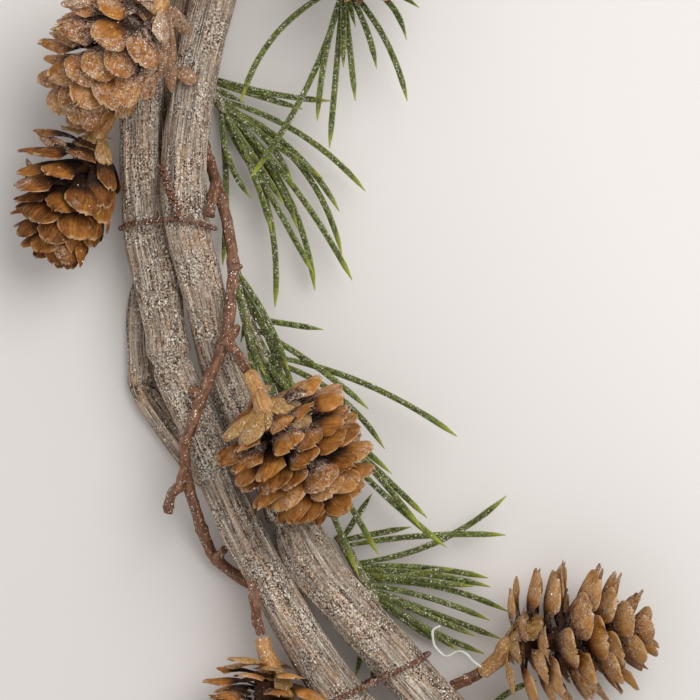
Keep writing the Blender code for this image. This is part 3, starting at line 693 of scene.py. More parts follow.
# For each sprig: the stem's route as turn, out, up, and the needles as share of the way along the stem,
# heading in the plane, length, bow to the left, and rise.
SPRIGS = (
    (
        ((154.5, -9.9, 8.8), (158.0, -19.5, 9.0), (161.5, -28.4, 11.0), (164.1, -29.5, 12.4)),
        (
            (0.97, -131, 33, -4, 5), (0.97, -116, 45, 2.4, 4.5), (0.98, -101, 29, -1, 5),
            (0.99, -95, 34, 0, 3), (1.0, -90, 17, 0, 4), (1.0, -84, 24, 0, 3), (0.98, -74, 9, 0, 4),
            (0.96, -69, 19, 1, 3), (0.94, -62, 28, 2, 2), (0.88, -45, 18, 3, 2), (0.82, -25, 17, 1, 1),
        ),
    ),
    (
        ((171.6, -2.6, 3.4), (173.4, -5.4, 3.4), (175.6, -9.4, 4.6)),
        (
            (0.4, -12, 27, -1, 5.5), (0.5, -17, 21, 0, 3.5), (0.6, -26, 8, 0, 2), (0.8, -32, 37, 3, 4),
            (0.9, -51, 41, 5, 2), (0.9, -42, 34, 3, 3), (0.9, -36, 27, 0, 5), (1.0, -63, 43, 4, 0),
            (0.95, -53, 46, 2, 5), (1.0, -61, 40, 0, 4), (0.95, -75, 44, 4, 3), (1.0, -57, 24, 0, 3),
            (0.95, -57, 27, 1, -1), (0.9, -89, 34, 1, -1), (1.0, -72, 20, -2, 2), (1.0, -60, 17, -1, -1),
            (0.8, -48, 24, 2, 3), (0.9, -58, 31, 2, 1), (0.95, -68, 29, 1, 4),
        ),
    ),
    (
        ((187.6, -10.7, 13.0), (189.4, -11.0, 11.4), (192.5, -12.0, 10.6), (196.3, -13.9, 10.4)),
        (
            (0.62, -9, 16, 0, 2), (0.7, -35, 30, 1, 1), (0.9, -23, 44, 2.6, 1), (0.95, -37, 31, 3, 3),
            (0.97, -42, 35, 0, -1), (1.0, -44, 46, 0, -1), (1.0, -47, 47, 1, 2), (0.97, -46, 54, -2, 1),
            (1.0, -60, 46, 0, 0), (0.6, -104, 6, 0, 0), (0.8, -96, 7, 0, 1), (0.9, -50, 12, -1, 3),
            (1.0, -67, 48, 0, 1), (0.05, -62, 24, 1, 2), (0.15, -74, 22, -1, 1), (0.25, -66, 24, 1, 0),
            (0.35, -80, 20, 0, 1), (0.45, -60, 22, 1, 2), (0.55, -70, 24, -1, 0), (0.65, -84, 18, 0, 1),
            (0.75, -64, 26, 1, 2), (0.9, -76, 24, 0, 1),
        ),
    ),
    (
        ((210.3, -13.0, 4.6), (213.5, -12.6, 4.0), (216.6, -11.8, 3.8)),
        (
            (0.1, 11, 15, 0, 2), (0.2, 4, 34, 1, 2), (0.45, 24, 35, -3, 3), (0.5, -5, 28, 1, -1),
            (0.55, -7, 28, 1, 2), (0.7, -12, 31, 2, 0), (0.8, -21, 30, 0, -1), (0.9, -28, 27, -1, -1),
            (1.0, -35, 16, 0, 0), (0.7, 8, 19, 0, 2), (0.1, 57, 12, 0, 3), (0.6, -6, 24, 0, 3),
            (0.75, -16, 27, 1, 2), (0.85, -23, 24, 0, 2), (0.9, -33, 22, 0, 1), (1.0, -104, 17, 0, -1),
            (1.0, -92, 18, 0, -1),
        ),
    ),
    (
        ((227.2, -8.6, 4.2), (228.4, -11.8, 3.2), (229.4, -15.0, 2.6)),
        ((0.6, -6, 16, 1, 0), (0.7, 32, 13, 1, 0), (1.0, -28, 17, 0, 1), (1.0, 8, 12, 0, 1)),
    ),
)

# A string of dried glue that hangs off the fourth socket.
GLUE_STRING = (
    (221.06, -19.31, 10), (220.91, -17.67, 11), (221.5, -16.31, 12), (222.13, -15.67, 12.5),
    (223.14, -16.09, 13), (223.49, -18.66, 14), (224.1, -19.46, 15), (225.01, -19.5, 16),
    (225.7, -19.8, 16.5),
)

# Torn scales that stand off the seen cones: root and end as turn, out, up, half the width, and the cone.
TORN_SCALES = (
    ((178.9, 25.4, 20.0), (177.7, 29.1, 19.0), 0.8, 2), ((178.6, 22.9, 20.0), (178.1, 26.8, 19.0), 0.7, 2),
    ((180.6, 29.4, 15.0), (179.4, 31.5, 15.0), 0.6, 2), ((180.8, 27.4, 16.0), (181.1, 32.5, 15.0), 1.0, 2),
    ((172.9, 1.1, 17.4), (173.7, -3.2, 17.2), 1.7, 1), ((169.4, 4.4, 34.0), (174.6, 1.7, 20.0), 1.7, 1),
    ((169.7, 5.9, 35.0), (173.8, 4.6, 27.0), 2.4, 1), ((169.0, 4.3, 34.0), (170.3, -0.3, 22.0), 1.8, 1),
    ((169.7, 20.1, 36.0), (170.0, 26.1, 35.0), 1.1, 1),
)
# Knobs of the long twig: from and to as turn, out, up, with the radius.
TWIG_KNOBS = (
    ((187.7, -10.1, 17.0), (187.7, -12.4, 17.6), 0.9), ((196.4, 1.8, 18.0), (196.0, 3.8, 18.2), 1.3),
    ((193.2, -5.4, 18.0), (192.2, -9.7, 18.6), 1.45),
)

# The far side of the ring is dressed by rule: at each station a pick of two cones and a sprig.
STATIONS = tuple(241 + 25 * k for k in range(11))
FAR_CONE_RADIUS = 11.6
FAR_CONE_LENGTH = 27.0
FAR_CONE_GAP = 2.2
FAR_CONE_LEAN = 14.0  # how far its tip leans away from the canes
TOP_DIRECTION = 90
SIDE_LIFT = 17  # direction of a side cone above the horizontal
TOP_AHEAD, SIDE_AHEAD = 6.0, 15.0  # turn from a station to the middle of its cones
ROOT_AHEAD, FORK_BACK, BEND_AHEAD = 6.5, 3, 4  # turn from a station to its stem's root, fork and bend
FORK_LEAN = 30  # how far the fork lies from the top, towards the side cone
PICK_STEM_RADIUS = 1.2
FAR_SPRIG_SPAN = 11.0  # turn from a sprig's root to its end
FAR_SPRIG_NEEDLES = 11
FAR_SPRIG_CLEAR = (1.5, 3.4, 12.0)  # how clear of the canes its root, middle and end are
FAR_SPRIG_HEIGHT = 4.0  # the least height of its stem
FAR_SPRIG_SEED = 20

# The pick of one cone: base and tip as turn, out, up, and the radius.
LONE_CONE = ((154.2, -25.8, 29.0), (164.4, -36.5, 26.0), 12.4)
LONE_ROOT = (148.5, 150, 1.55)  # turn, direction and clearance of its stem's root
LONE_BEND = (150.6, -15.0, 20.0)
LONE_SEED = 40


def read(rows: Sequence[Row], turn: float) -> list[float]:
    """Reads a table at a turn, along a smooth curve through its rows.

    Args:
        rows: The table, by turn.
        turn: Where to read it.

    Returns:
        The other columns.
    """
    last = len(rows) - 2
    index = max([k for k in range(last + 1) if rows[k][0] <= turn], default=0)
    low, high = rows[index], rows[index + 1]
    span = high[0] - low[0]
    share = min(max((turn - low[0]) / span, 0.0), 1.0)
    square, cube = share**2, share**3

    def slope(row: int, column: int) -> float:
        """Slopes through a row's neighbours."""
        before, after = rows[max(row - 1, 0)], rows[min(row + 1, last + 1)]
        return (after[column] - before[column]) / (after[0] - before[0]) * span

    return [
        (2 * cube - 3 * square + 1) * low[column]
        + (cube - 2 * square + share) * slope(index, column)
        + (3 * square - 2 * cube) * high[column]
        + (cube - square) * slope(index + 1, column)
        for column in range(1, len(low))
    ]


def outward(turn: float) -> Vector:
    """Points away from the ring's middle."""
    return Vector((math.cos(math.radians(turn)), math.sin(math.radians(turn)), 0.0))


def place(turn: float, out: float, up: float) -> Vector:
    """Places a point by its turn, distance out and height."""
    return RING_CENTRE + outward(turn) * (RING_RADIUS + out) + UP * up


def smooth(points: Sequence[Vector], steps: int) -> list[Vector]:
    """Draws a smooth curve.

    Args:
        points: What it runs through.
        steps: Points to each stretch.

    Returns:
        The curve's points.
    """
    found = []
    for k in range(len(points) - 1):
        a, b, c, d = (points[max(0, min(k + n, len(points) - 1))] for n in (-1, 0, 1, 2))
        for step in range(steps):
            t = step / steps
            bend = (2 * a - 5 * b + 4 * c - d) * t**2 + (3 * b - a - 3 * c + d) * t**3
            found.append(0.5 * (2 * b + (c - a) * t + bend))
    return [*found, points[-1]]


class Layout:
    """Where the canes run, and where a thing that lies on them is seated."""

    @staticmethod
    def pair_at(turn: float) -> list[float]:
        """Reads the two thick canes' common course."""
        first = PAIR[0][0]
        return read(PAIR, (turn - first) % 360 + first)

    @classmethod
    def thick_at(cls, turn: float, side: Side) -> Spot:
        """Places one thick cane.

        Args:
            turn: Where on the ring.
            side: Which of the two.

        Returns:
            Its out, up and radius.
        """
        middle, up, roll, half, outer, inner = cls.pair_at(turn)
        reach = half * side.value
        roll = math.radians(roll)
        radius = outer if side is Side.OUTER else inner
        return middle + reach * math.cos(roll), up + reach * math.sin(roll), radius

    @classmethod
    def winding_at(cls, turn: float, direction: float, radius: float) -> Spot:
        """Places a thin cane that lies against the pair.

        Args:
            turn: Where on the ring.
            direction: From which side of the pair.
            radius: The cane's radius.

        Returns:
            Its out, up and radius.
        """
        middle, up, roll, half, outer, inner = cls.pair_at(turn)
        angle = math.radians(direction - roll)
        reach = max(outer, inner) + radius + THIN_GAP
        along = reach * math.cos(angle) + half * max(-1.0, min(1.0, 4 * math.cos(angle)))
        over = reach * math.sin(angle)
        roll = math.radians(roll)
        out = middle + along * math.cos(roll) - over * math.sin(roll)
        rise = up + along * math.sin(roll) + over * math.cos(roll)
        return out, max(rise, radius - 0.1), radius

    @classmethod
    def thin_at(cls, turn: float) -> Spot:
        """Places the near thin cane.

        Args:
            turn: Where on the ring.

        Returns:
            Its out, up and radius.
        """
        wound = [(row[0], *cls.winding_at(row[0], row[1], THIN_RADIUS)[:2]) for row in THIN_START]
        out, up = read([*wound, *THIN_SEEN], turn)
        return out, up, THIN_RADIUS

    @classmethod
    def far_at(cls, turn: float) -> Spot:
        """Gives out, up and radius of the far thin cane."""
        return cls.winding_at(turn, read(FAR_ROUTE, turn)[0], FAR_RADIUS)

    @classmethod
    def runs(cls) -> list[tuple[tuple[float, float], Callable[[float], Spot]]]:
        """Lists the runs of the canes.

        Returns:
            The ends and the course of the outer, the inner, the thin and the far thin cane.
        """
        return [
            (OUTER_ENDS, lambda turn: cls.thick_at(turn, Side.OUTER)),
            (INNER_ENDS, lambda turn: cls.thick_at(turn, Side.INNER)),
            ((THIN_START[0][0], THIN_SEEN[-1][0]), cls.thin_at),
            ((FAR_ROUTE[0][0], FAR_ROUTE[-1][0]), cls.far_at),
        ]

    @classmethod
    def canes_at(cls, turn: float) -> list[Spot]:
        """Lists out, up and radius of each cane that crosses this turn."""
        crossed = ((low + (turn - low) % 360, high, course) for (low, high), course in cls.runs())
        return [course(at) for at, high, course in crossed if at <= high]

    @classmethod
    def seat(
        cls, turn: float, direction: float, clearance: float, spread: float = 0.0
    ) -> tuple[float, float]:
        """Seats a point on the canes.

        Args:
            turn: Where on the ring.
            direction: From which side of the cross-section.
            clearance: How clear of the outermost cane.
            spread: The turn to each side that it must clear too.

        Returns:
            Its distance out and its height.
        """
        across, over = math.cos(math.radians(direction)), math.sin(math.radians(direction))
        canes = [cane for ahead in {-spread, 0.0, spread} for cane in cls.canes_at(turn + ahead)]
        out, up, radius = max(canes, key=lambda c: c[0] * across + c[1] * over + c[2])
        return out + across * (radius + clearance), up + over * (radius + clearance)


# --- finishes ---


@dataclass(frozen=True)
class Bark:
    """Weathered cane bark: drawn-out fibres, dark furrows, a crust of frost, and painted shade in the gaps
    between its frost grains.

    Attributes:
        name: The material's name.
        dark: Colour of the furrows.
        mid: Colour of most of it.
        light: Colour of the worn ridges.
        frost: How much frost lies on it, from 0 to 1.
        cracked: How dark its fine cracks are, from 0 to 1.
    """

    name: str
    dark: Screen
    mid: Screen
    light: Screen
    frost: float
    cracked: float

    def build(self) -> Material:
        """Builds the finish.

        Returns:
            Its material.
        """
        g = Shading(self.name)
        dark, mid, light = (linear(*screen) for screen in (self.dark, self.mid, self.light))
        grain, here = g.triple("grain"), g.here()
        fibres = g.noise(g.vector("MULTIPLY", grain, (1.3, 1.3, 0.05)), 1.0, 3.0, 0.7)
        threads = g.noise(g.vector("MULTIPLY", grain, (4.2, 4.2, 0.13)), 1.0, 2.0, 0.65)
        broad = g.noise(g.vector("MULTIPLY", grain, (0.2, 0.2, 0.03)), 1.0, 2.0)
        pits = g.noise(g.vector("MULTIPLY", grain, (3.2, 3.2, 2.4)), 1.0, 2.0, 0.75)
        tone = fibres * 1.1 + threads * 1.1 + pits * 0.4 + (broad - 0.5) * 0.7 - 0.8
        colour = g.ramp(tone, ((0.24, dark), (0.42, mid), (0.56, mid), (0.76, light)))
        warm = g.smooth(g.noise(g.vector("MULTIPLY", grain, (0.5, 0.5, 0.09)), 1.0, 1.0), 0.5, 0.64)
        colour = g.mix(warm * 0.6, colour, g.mix(1.0, colour, (1.15, 0.9, 0.7), "MULTIPLY"))
        vein = abs(g.noise(g.vector("MULTIPLY", grain, (0.8, 0.8, 0.028)), 1.0, 2.0, 0.6) - 0.5)
        cracks = g.smooth(vein, 0.055, 0.012) * g.smooth(broad, 0.4, 0.52)
        colour = g.mix(cracks * self.cracked, colour, dark)
        up = g.smooth(g.facing_up(), -0.3, 0.6)
        zone = g.smooth(g.noise(here, 0.14, 2.0, 0.6), 0.4, 0.56) * up
        crust = g.smooth(g.noise(here, 0.5, 3.0, 0.7), 0.42, 0.66) * up
        colour = g.mix(crust * 0.5 * self.frost, colour, linear(204, 190, 176))
        grain_and_gap_shade = g.noise(here, 2.4, 1.0, 0.6)
        strength = 0.35 + 0.65 * zone
        # Dark specks are painted shade in the gaps between frost grains; light specks are paler frost
        # grains.
        colour = g.mix(g.smooth(grain_and_gap_shade, 0.48, 0.36) * strength * self.frost, colour, dark)
        colour = g.mix(g.smooth(grain_and_gap_shade, 0.54, 0.66) * strength * 0.45 * self.frost, colour, light)
        salt = g.glitter(here, 0.42 * self.frost, 0.42) * (0.35 + 0.65 * zone)
        colour = g.mix(salt, colour, linear(255, 247, 232))
        height = fibres * 0.9 + threads * 0.7 + grain_and_gap_shade * 0.5 * strength - cracks * 0.5
        return g.surface(colour, 0.85 - salt * 0.5, 0.3, g.bump(height, 0.9))


@dataclass(frozen=True)
class ConeScale:
    """Dry larch scales: ochre backs with fine striations, paler ragged edges and frosted rims, with painted
    shade towards each covered root and on the inner faces.
    """

    def build(self) -> Material:
        """Builds the finish.

        Returns:
            Its material.
        """
        g = Shading("larch_scale")
        reach, across, shade, back, tint, icing = (
            g.value(name) for name in ("reach", "across", "shade", "back", "tint", "icing")
        )
        here = g.here()
        lines = g.noise(g.combine(across * 8.0 + shade * 40.0, reach * 1.3, shade * 9.0), 1.0, 3.0, 0.7)
        blotch = g.noise(here, 0.4, 3.0, 0.65)
        # Each back darkens towards its root, down to the darkest stop: painted shade where the next scale
        # covers it.
        shown = g.smooth(reach, 0.26, 0.72)
        tone = shown * 0.8 + (lines - 0.5) * 0.6 + (blotch - 0.5) * 0.8
        tone = tone + (shade - 0.5) * 0.25 + (tint - 0.5) * 0.5
        stops = ((0.16, (42, 20, 5)), (0.48, (108, 61, 17)), (0.76, (174, 111, 43)), (1.0, (210, 156, 90)))
        colour = g.ramp(tone, [(spot, linear(*screen)) for spot, screen in stops])
        # Inner faces darker: painted shade inside the cone.
        colour = g.mix((1 - back) * 0.7, colour, linear(84, 46, 20))
        rim = g.smooth(reach, 0.92, 1.0) + g.smooth(abs(across), 0.88, 1.0) * g.smooth(reach, 0.5, 0.8)
        rim = rim.limited() * g.smooth(blotch, 0.36, 0.56)
        colour = g.mix(rim * 0.6, colour, linear(226, 194, 154))
        where = g.noise(g.vector("ADD", here, (5.0, 2.0, 8.0)), 0.13, 2.0, 0.5) + (icing - 0.5) * 0.5
        zone = g.smooth(where, 0.44, 0.62)
        crust = g.smooth(g.noise(here, 0.85, 3.0, 0.75), 0.42, 0.62) * zone * (0.25 + 0.75 * back)
        colour = g.mix(crust * 0.5, colour, linear(212, 178, 154))
        dust = g.glitter(here, 0.36, 0.28) * (0.1 + 0.9 * zone) * (0.4 + 0.6 * crust)
        dust = dust * (0.5 + 0.5 * back)
        colour = g.mix(dust * 0.92, colour, linear(252, 240, 222))
        pits = g.smooth(g.noise(here, 2.4, 1.0), 0.4, 0.3) * zone
        colour = g.mix(pits * 0.4, colour, linear(110, 62, 30))
        height = lines * 0.8 + crust * 0.3 - pits * 0.3
        return g.surface(colour, 0.7 - dust * 0.3, 0.25, g.bump(height, 0.3))


@dataclass(frozen=True)
class Needle:
    """Moulded green needles with a darker middle, frosted margins and lime tips."""

    def build(self) -> Material:
        """Builds the finish.

        Returns:
            Its material.
        """
        g = Shading("needle_green_frosted")
        share, shade = g.value("share"), g.value("shade")
        side = abs(g.split(g.triple("turn"))[0])
        here = g.here()
        mottle = g.noise(here, 0.9, 2.0)
        colour = g.mix(g.smooth(mottle, 0.35, 0.65), linear(44, 54, 5), linear(98, 113, 22))
        colour = g.mix(g.smooth(side, 0.55, 0.95) * 0.6, colour, linear(176, 174, 88))
        colour = g.mix(shade * 0.35, colour, linear(72, 76, 16))
        crust = g.smooth(g.noise(here, 0.8, 3.0, 0.7), 0.44, 0.66)
        fade = g.smooth(share, 0.97, 0.72)
        colour = g.mix(crust * fade * 0.12, colour, linear(190, 188, 150))
        colour = g.mix(g.smooth(share, 0.86, 0.99), colour, linear(160, 164, 44))
        pepper = g.grains(g.vector("ADD", here, (3.1, 8.3, 2.7)), 0.42, 0.4)
        colour = g.mix(pepper * 0.25, colour, linear(44, 48, 14))
        dust = g.glitter(here, 0.42, 0.32) * (0.35 + 0.65 * crust) * (0.2 + 0.8 * fade)
        colour = g.mix(dust, colour, linear(246, 244, 222))
        return g.surface(colour, 0.55 - dust * 0.2, 0.3, g.bump(mottle * 0.4 + dust, 0.16))


@dataclass(frozen=True)
class Smooth:
    """A thin stem, wire or moulding: two blended colours, ridges along or round it, and frost.

    Attributes:
        name: The material's name.
        dark: The darker colour.
        light: The lighter colour.
        wrap: Distance between the turns of a paper wrap in millimetres, or 0 for none.
        frost: How much frost lies on it, from 0 to 1.
        rough: Roughness.
        clear: Share of light that passes under the surface.
    """

    name: str
    dark: Screen
    light: Screen
    wrap: float = 0.0
    frost: float = 0.5
    rough: float = 0.6
    clear: float = 0.0

    def build(self) -> Material:
        """Builds the finish.

        Returns:
            Its material.
        """
        g = Shading(self.name)
        grain, here = g.triple("grain"), g.here()
        streak = g.noise(g.vector("MULTIPLY", grain, (1.6, 1.6, 0.35)), 1.0, 3.0, 0.6)
        height = streak * 0.6
        tone = g.smooth(streak, 0.3, 0.7)
        if self.wrap:
            across, over, _ = g.split(g.triple("turn"))
            angle = g.math("ARCTAN2", over, across)
            wave = g.math("SINE", g.value("along") * (2 * math.pi / self.wrap) + angle)
            height = height + wave * 0.5
            tone = (tone * 0.6 + g.smooth(wave, -0.8, 0.9) * 0.4).limited()
        colour = g.mix(tone, linear(*self.dark), linear(*self.light))
        crust = g.smooth(g.noise(here, 0.6, 3.0, 0.7), 0.45, 0.66) * g.smooth(g.facing_up(), -0.3, 0.6)
        colour = g.mix(crust * 0.5 * self.frost, colour, linear(198, 178, 160))
        dust = g.glitter(here, 0.36 * self.frost, 0.28)
        colour = g.mix(dust, colour, linear(246, 234, 218))
        rough = self.rough - dust * 0.2
        inputs: Inputs = {"Base Color": colour, "Roughness": rough, "Normal": g.bump(height, 0.28)}
        if self.clear:
            inputs["Subsurface Weight"] = self.clear
            inputs["Subsurface Scale"] = 0.004
            inputs["Subsurface Radius"] = (1.0, 0.6, 0.3)
        return g.close(inputs)


@dataclass(frozen=True)
class Glitter:
    """Grains of clear glitter, from white to silver."""

    def build(self) -> Material:
        """Builds the finish.

        Returns:
            Its material.
        """
        g = Shading("glitter")
        stops = ((0.0, (150, 140, 132)), (0.45, (205, 198, 190)), (1.0, (250, 246, 240)))
        colour = g.ramp(g.value("shade"), [(spot, linear(*screen)) for spot, screen in stops])
        return g.close({"Base Color": colour, "Roughness": 0.28, "Metallic": 0.25})


class Finishes:
    """Every finish of the wreath, built once."""

    def __init__(self) -> None:
        """Builds the materials."""
        bark = ((72, 51, 33), (187, 163, 139), (246, 230, 211))
        self.cane = Bark("cane_bark", *bark, 1.0, 0.6).build()
        # The thin canes' bark has lighter mid and light tones than the thick canes' to make up for the
        # shade that the thick canes cast on them: painted light.
        bark = ((50, 34, 20), (196, 172, 148), (255, 244, 228))
        self.thin = Bark("thin_cane_bark", *bark, 0.5, 1.0).build()
        self.scale = ConeScale().build()
        self.needle = Needle().build()
        rows = (
            ("twig_brown", (78, 46, 26), (144, 96, 64), 0.0, 0.25),
            ("torn_scale", (118, 80, 50), (176, 130, 90), 0.0, 0.6),
            ("paper_wire", (66, 34, 18), (136, 84, 56), 0.9, 0.45, 0.8),
            ("socket_tan", (150, 98, 40), (206, 156, 88), 0.0, 0.35, 0.4, 0.25),
            ("crusted_socket", (138, 98, 64), (190, 154, 122), 0.0, 0.8, 0.5),
            ("sprig_stem", (66, 68, 24), (122, 120, 66), 0.0, 0.9),
            ("glue_string", (206, 198, 184), (236, 232, 224), 0.0, 0.1, 0.35, 0.4),
        )
        self.twig, self.torn, self.wire, self.socket, self.crust, self.stem, self.glue = (
            Smooth(*row).build() for row in rows
        )
        self.glitter = Glitter().build()


# --- shapes ---


@dataclass
class Route:
    """One line that a tube follows.

    Attributes:
        points: The line in millimetres.
        radii: The tube's radius at each point, in millimetres.
        shade: A number from 0 to 1 that tints it.
        closed: Whether it runs back into its start.
    """

    points: list[Vector]
    radii: list[float]
    shade: float = 0.5
    closed: bool = False


@dataclass(frozen=True)
class Skin:
    """The relief of a tube: sizes and depths in millimetres.

    Attributes:
        sides: Faces round it.
        flatness: Its height as a share of its width.
        ridge: Height of its ridges.
        ridge_size: Width of its ridges.
        furrow: Depth of its furrows.
        furrow_size: Distance between its furrows.
        stretch: Width of a ridge as a share of its length.
        lump: Height of its lumps.
        lump_size: Distance between its lumps.
    """

    sides: int = 8
    flatness: float = 1.0
    ridge: float = 0.0
    ridge_size: float = 1.0
    furrow: float = 0.0
    furrow_size: float = 1.0
    stretch: float = 0.1
    lump: float = 0.0
    lump_size: float = 5.0


@dataclass(frozen=True)
class Dust:
    """The glitter on a piece.

    Attributes:
        density: Grains to a square millimetre where most lie.
        smallest: Size of its smallest grains in millimetres.
        largest: Size of its largest grains in millimetres.
        under: Share of that density on what faces down.
    """

    density: float
    smallest: float
    largest: float
    under: float = 0.3


@dataclass(frozen=True)
class ScaleForm:
    """One scale of a cone, of unit length: a narrow root, a broad blade, a cupped back and a torn edge.

    Attributes:
        width: Half its width.
        blunt: How square its end is, from 2 for round upwards.
        bulge: Height of its back over its sides.
        flare: How far its end turns out.
        torn: Depth of the tears in its edge.
        wave: Height of the waves along its edge.
        seed: What varies its edge.
    """

    width: float
    blunt: float
    bulge: float
    flare: float
    torn: float
    wave: float
    seed: int

    def shell(self, across: int, along: int) -> tuple[np.ndarray, np.ndarray, dict[str, np.ndarray]]:
        """Lays out the points of its back and its inner face.

        Args:
            across: Faces from side to side.
            along: Faces from root to edge.

        Returns:
            The back's points, the inner face's points, and the numbers that both carry.
        """
        rng = np.random.default_rng(self.seed)
        u, v = np.meshgrid(np.linspace(-1, 1, across + 1), np.sin(np.linspace(0, np.pi / 2, along + 1)))
        end = np.clip((v - 0.55) / 0.45, 0, 0.975)
        half = self.width * (0.32 + 0.68 * np.clip(v / 0.66, 0, 1) ** 1.1)
        half = half * (1 - end**self.blunt) ** (1 / self.blunt)
        tears = np.repeat(rng.uniform(-1, 0.5, across + 1)[None], along + 1, 0) * self.torn
        nicks = 1 + rng.uniform(-1.5, 0.7, (along + 1, 2)) * self.torn
        side = u * half * np.where(u < 0, nicks[:, :1], nicks[:, 1:]) ** np.abs(u) ** 3
        reach = v + tears * end**3
        curl = self.bulge * (1 - (side / self.width) ** 2) * np.sin(np.pi * np.clip(v * 0.9, 0, 1)) ** 0.75
        curl = curl + self.flare * end**2 + self.wave * np.sin(u * 5.5 + self.seed) * end
        edge = np.minimum(1 - np.abs(u) ** 3, 1 - end**4)
        thick = 0.038 * np.clip(edge, 0.12, 1) * (1.3 - 0.7 * v)
        sides = [np.stack([curl + sign * thick / 2, side, reach], -1).reshape(-1, 3) for sign in (1, -1)]
        carried = {"reach": np.tile(v.ravel(), 2), "across": np.tile(u.ravel(), 2)}
        return *sides, {**carried, "back": np.repeat([1.0, 0.0], u.size)}


SCALE_FORMS = (
    ScaleForm(0.37, 2.3, 0.13, 0.0, 0.03, 0.015, 3),
    ScaleForm(0.34, 2.1, 0.14, 0.03, 0.045, 0.025, 11),
    ScaleForm(0.4, 2.6, 0.12, -0.03, 0.025, 0.02, 19),
    ScaleForm(0.35, 1.9, 0.13, 0.05, 0.07, 0.03, 27),
)


class Workshop:
    """Makes finished pieces and hangs them on the frame."""

    def __init__(self) -> None:
        """Builds the trees, the finishes and the patterns for what repeats."""
        self.finish = Finishes()
        self.sweeps = {twist: sweep_tree(twist) for twist in Twist}
        self.cone = cone_tree()
        self.dust = dust_tree()
        self.grain = self._grain()
        self.scales = self._scales("fine_scales", 12, 9)
        self.far_scales = self._scales("far_scales", 4, 5)

    @staticmethod
    def _grain() -> bpy.types.Object:
        """Makes one grain of glitter.

        Returns:
            A skewed tetrahedron of unit size.
        """
        corners = [(-0.5, -0.35, -0.2), (0.55, -0.3, -0.15), (0.0, 0.5, -0.25), (0.05, 0.0, 0.35)]
        mesh = bpy.data.meshes.new("grain")
        mesh.from_pydata(corners, [], [(0, 2, 1), (0, 1, 3), (1, 2, 3), (2, 0, 3)])
        return bpy.data.objects.new("grain", mesh)

    @staticmethod
    def _scales(name: str, across: int, along: int) -> bpy.types.Collection:
        """Makes the patterns of a cone's scales, of unit length.

        Args:
            name: The collection's name.
            across: Faces from side to side.
            along: Faces from root to edge.

        Returns:
            A collection with a scale of each form.
        """
        pool = bpy.data.collections.new(name)
        for kind, form in enumerate(SCALE_FORMS):
            outer, inner, carried = form.shell(across, along)
            count, wide = len(outer), across + 1
            faces = []
            for row in range(along):
                for column in range(across):
                    a = row * wide + column
                    faces.append((a, a + 1, a + 1 + wide, a + wide))
                    faces.append((count + a, count + a + wide, count + a + 1 + wide, count + a + 1))
            rim = [*range(wide), *[r * wide + across for r in range(1, along + 1)]]
            rim += [along * wide + c for c in range(across - 1, -1, -1)]
            rim += [r * wide for r in range(along - 1, 0, -1)]
            faces += [(b, a, count + a, count + b) for a, b in zip([rim[-1], *rim], rim)]
            mesh = bpy.data.meshes.new(f"{name}_{kind}")
            mesh.from_pydata(np.concatenate([outer, inner]).tolist(), [], faces)
            for label, values in carried.items():
                carrier = mesh.attributes.new(label, "FLOAT", "POINT")
                carrier.data.foreach_set("value", values.astype(np.float32))
            mesh.shade_smooth()
            pool.objects.link(bpy.data.objects.new(f"{name}_{kind}", mesh))
        return pool

    @staticmethod
    def _lines(name: str, routes: Sequence[Route]) -> bpy.types.Object:
        """Makes an object of poly-lines that carry their radius and shade.

        Args:
            name: Its name.
            routes: The lines.

        Returns:
            The object.
        """
        points, edges, thick, shade = [], [], [], []
        for route in routes:
            start, count = len(points), len(route.points)
            points += [tuple(p * MM) for p in route.points]
            edges += [(start + k, start + k + 1) for k in range(count - 1)]
            if route.closed:
                edges.append((start + count - 1, start))
            thick += [r * MM for r in route.radii]
            shade += [route.shade] * count
        made = linked(name, points, edges, [])
        for label, values in (("thick", thick), ("shade", shade)):
            made.data.attributes.new(label, "FLOAT", "POINT").data.foreach_set("value", values)
        return made

    def tubes(
        self, name: str, routes: Sequence[Route], skin: Skin, finish: Material,
        twist: Twist = Twist.LEAST, seed: int = 1,
    ) -> bpy.types.Object:
        """Sweeps tubes along routes.

        Args:
            name: The piece's name.
            routes: What the tubes follow.
            skin: Their relief.
            finish: Their material.
            twist: How their cross-section turns.
            seed: What varies the relief.

        Returns:
            The piece.
        """
        piece = self._lines(name, routes)
        relief = {key.replace("_", " ").title(): value for key, value in asdict(skin).items()}
        Growth.bake(piece, self.sweeps[twist], {**relief, "Seed": float(seed), "Finish": finish})
        return piece

    def scales_of(
        self, name: str, cone: "ConeForm", fine: bool = True, finish: Material | None = None
    ) -> bpy.types.Object:
        """Grows one cone.

        Args:
            name: The piece's name.
            cone: Its place and sizes.
            fine: Whether its scales have the full detail.
            finish: Its material, where it isn't a scale's.

        Returns:
            The piece.
        """
        piece = linked(name, [], [], [])
        length, look = (cone.tip - cone.base).length * MM, cone.look
        axis = (cone.tip - cone.base).normalized()
        spin = Matrix.Rotation(math.radians(look.spin), 4, "Z")
        turn = axis.to_track_quat("Z", "Y").to_matrix().to_4x4() @ spin
        against = turn.to_3x3().inverted() @ cone.against
        inputs = {
            "Count": look.count, "Length": length, "Scale Size": cone.radius * look.reach * MM,
            "Core": cone.core * MM, "Open": math.radians(look.open),
            "Tip Open": math.radians(look.tip_open), "Against": math.atan2(against.y, against.x),
            "Foot": look.foot, "Press": look.press, "Seed": float(cone.seed), "Tint": look.tint,
            "Icing": look.icing,
            "Scales": self.scales if fine else self.far_scales, "Finish": finish or self.finish.scale,
        }
        Growth.bake(piece, self.cone, inputs)
        piece.data.transform(Matrix.Translation(cone.base * MM) @ turn)
        return piece

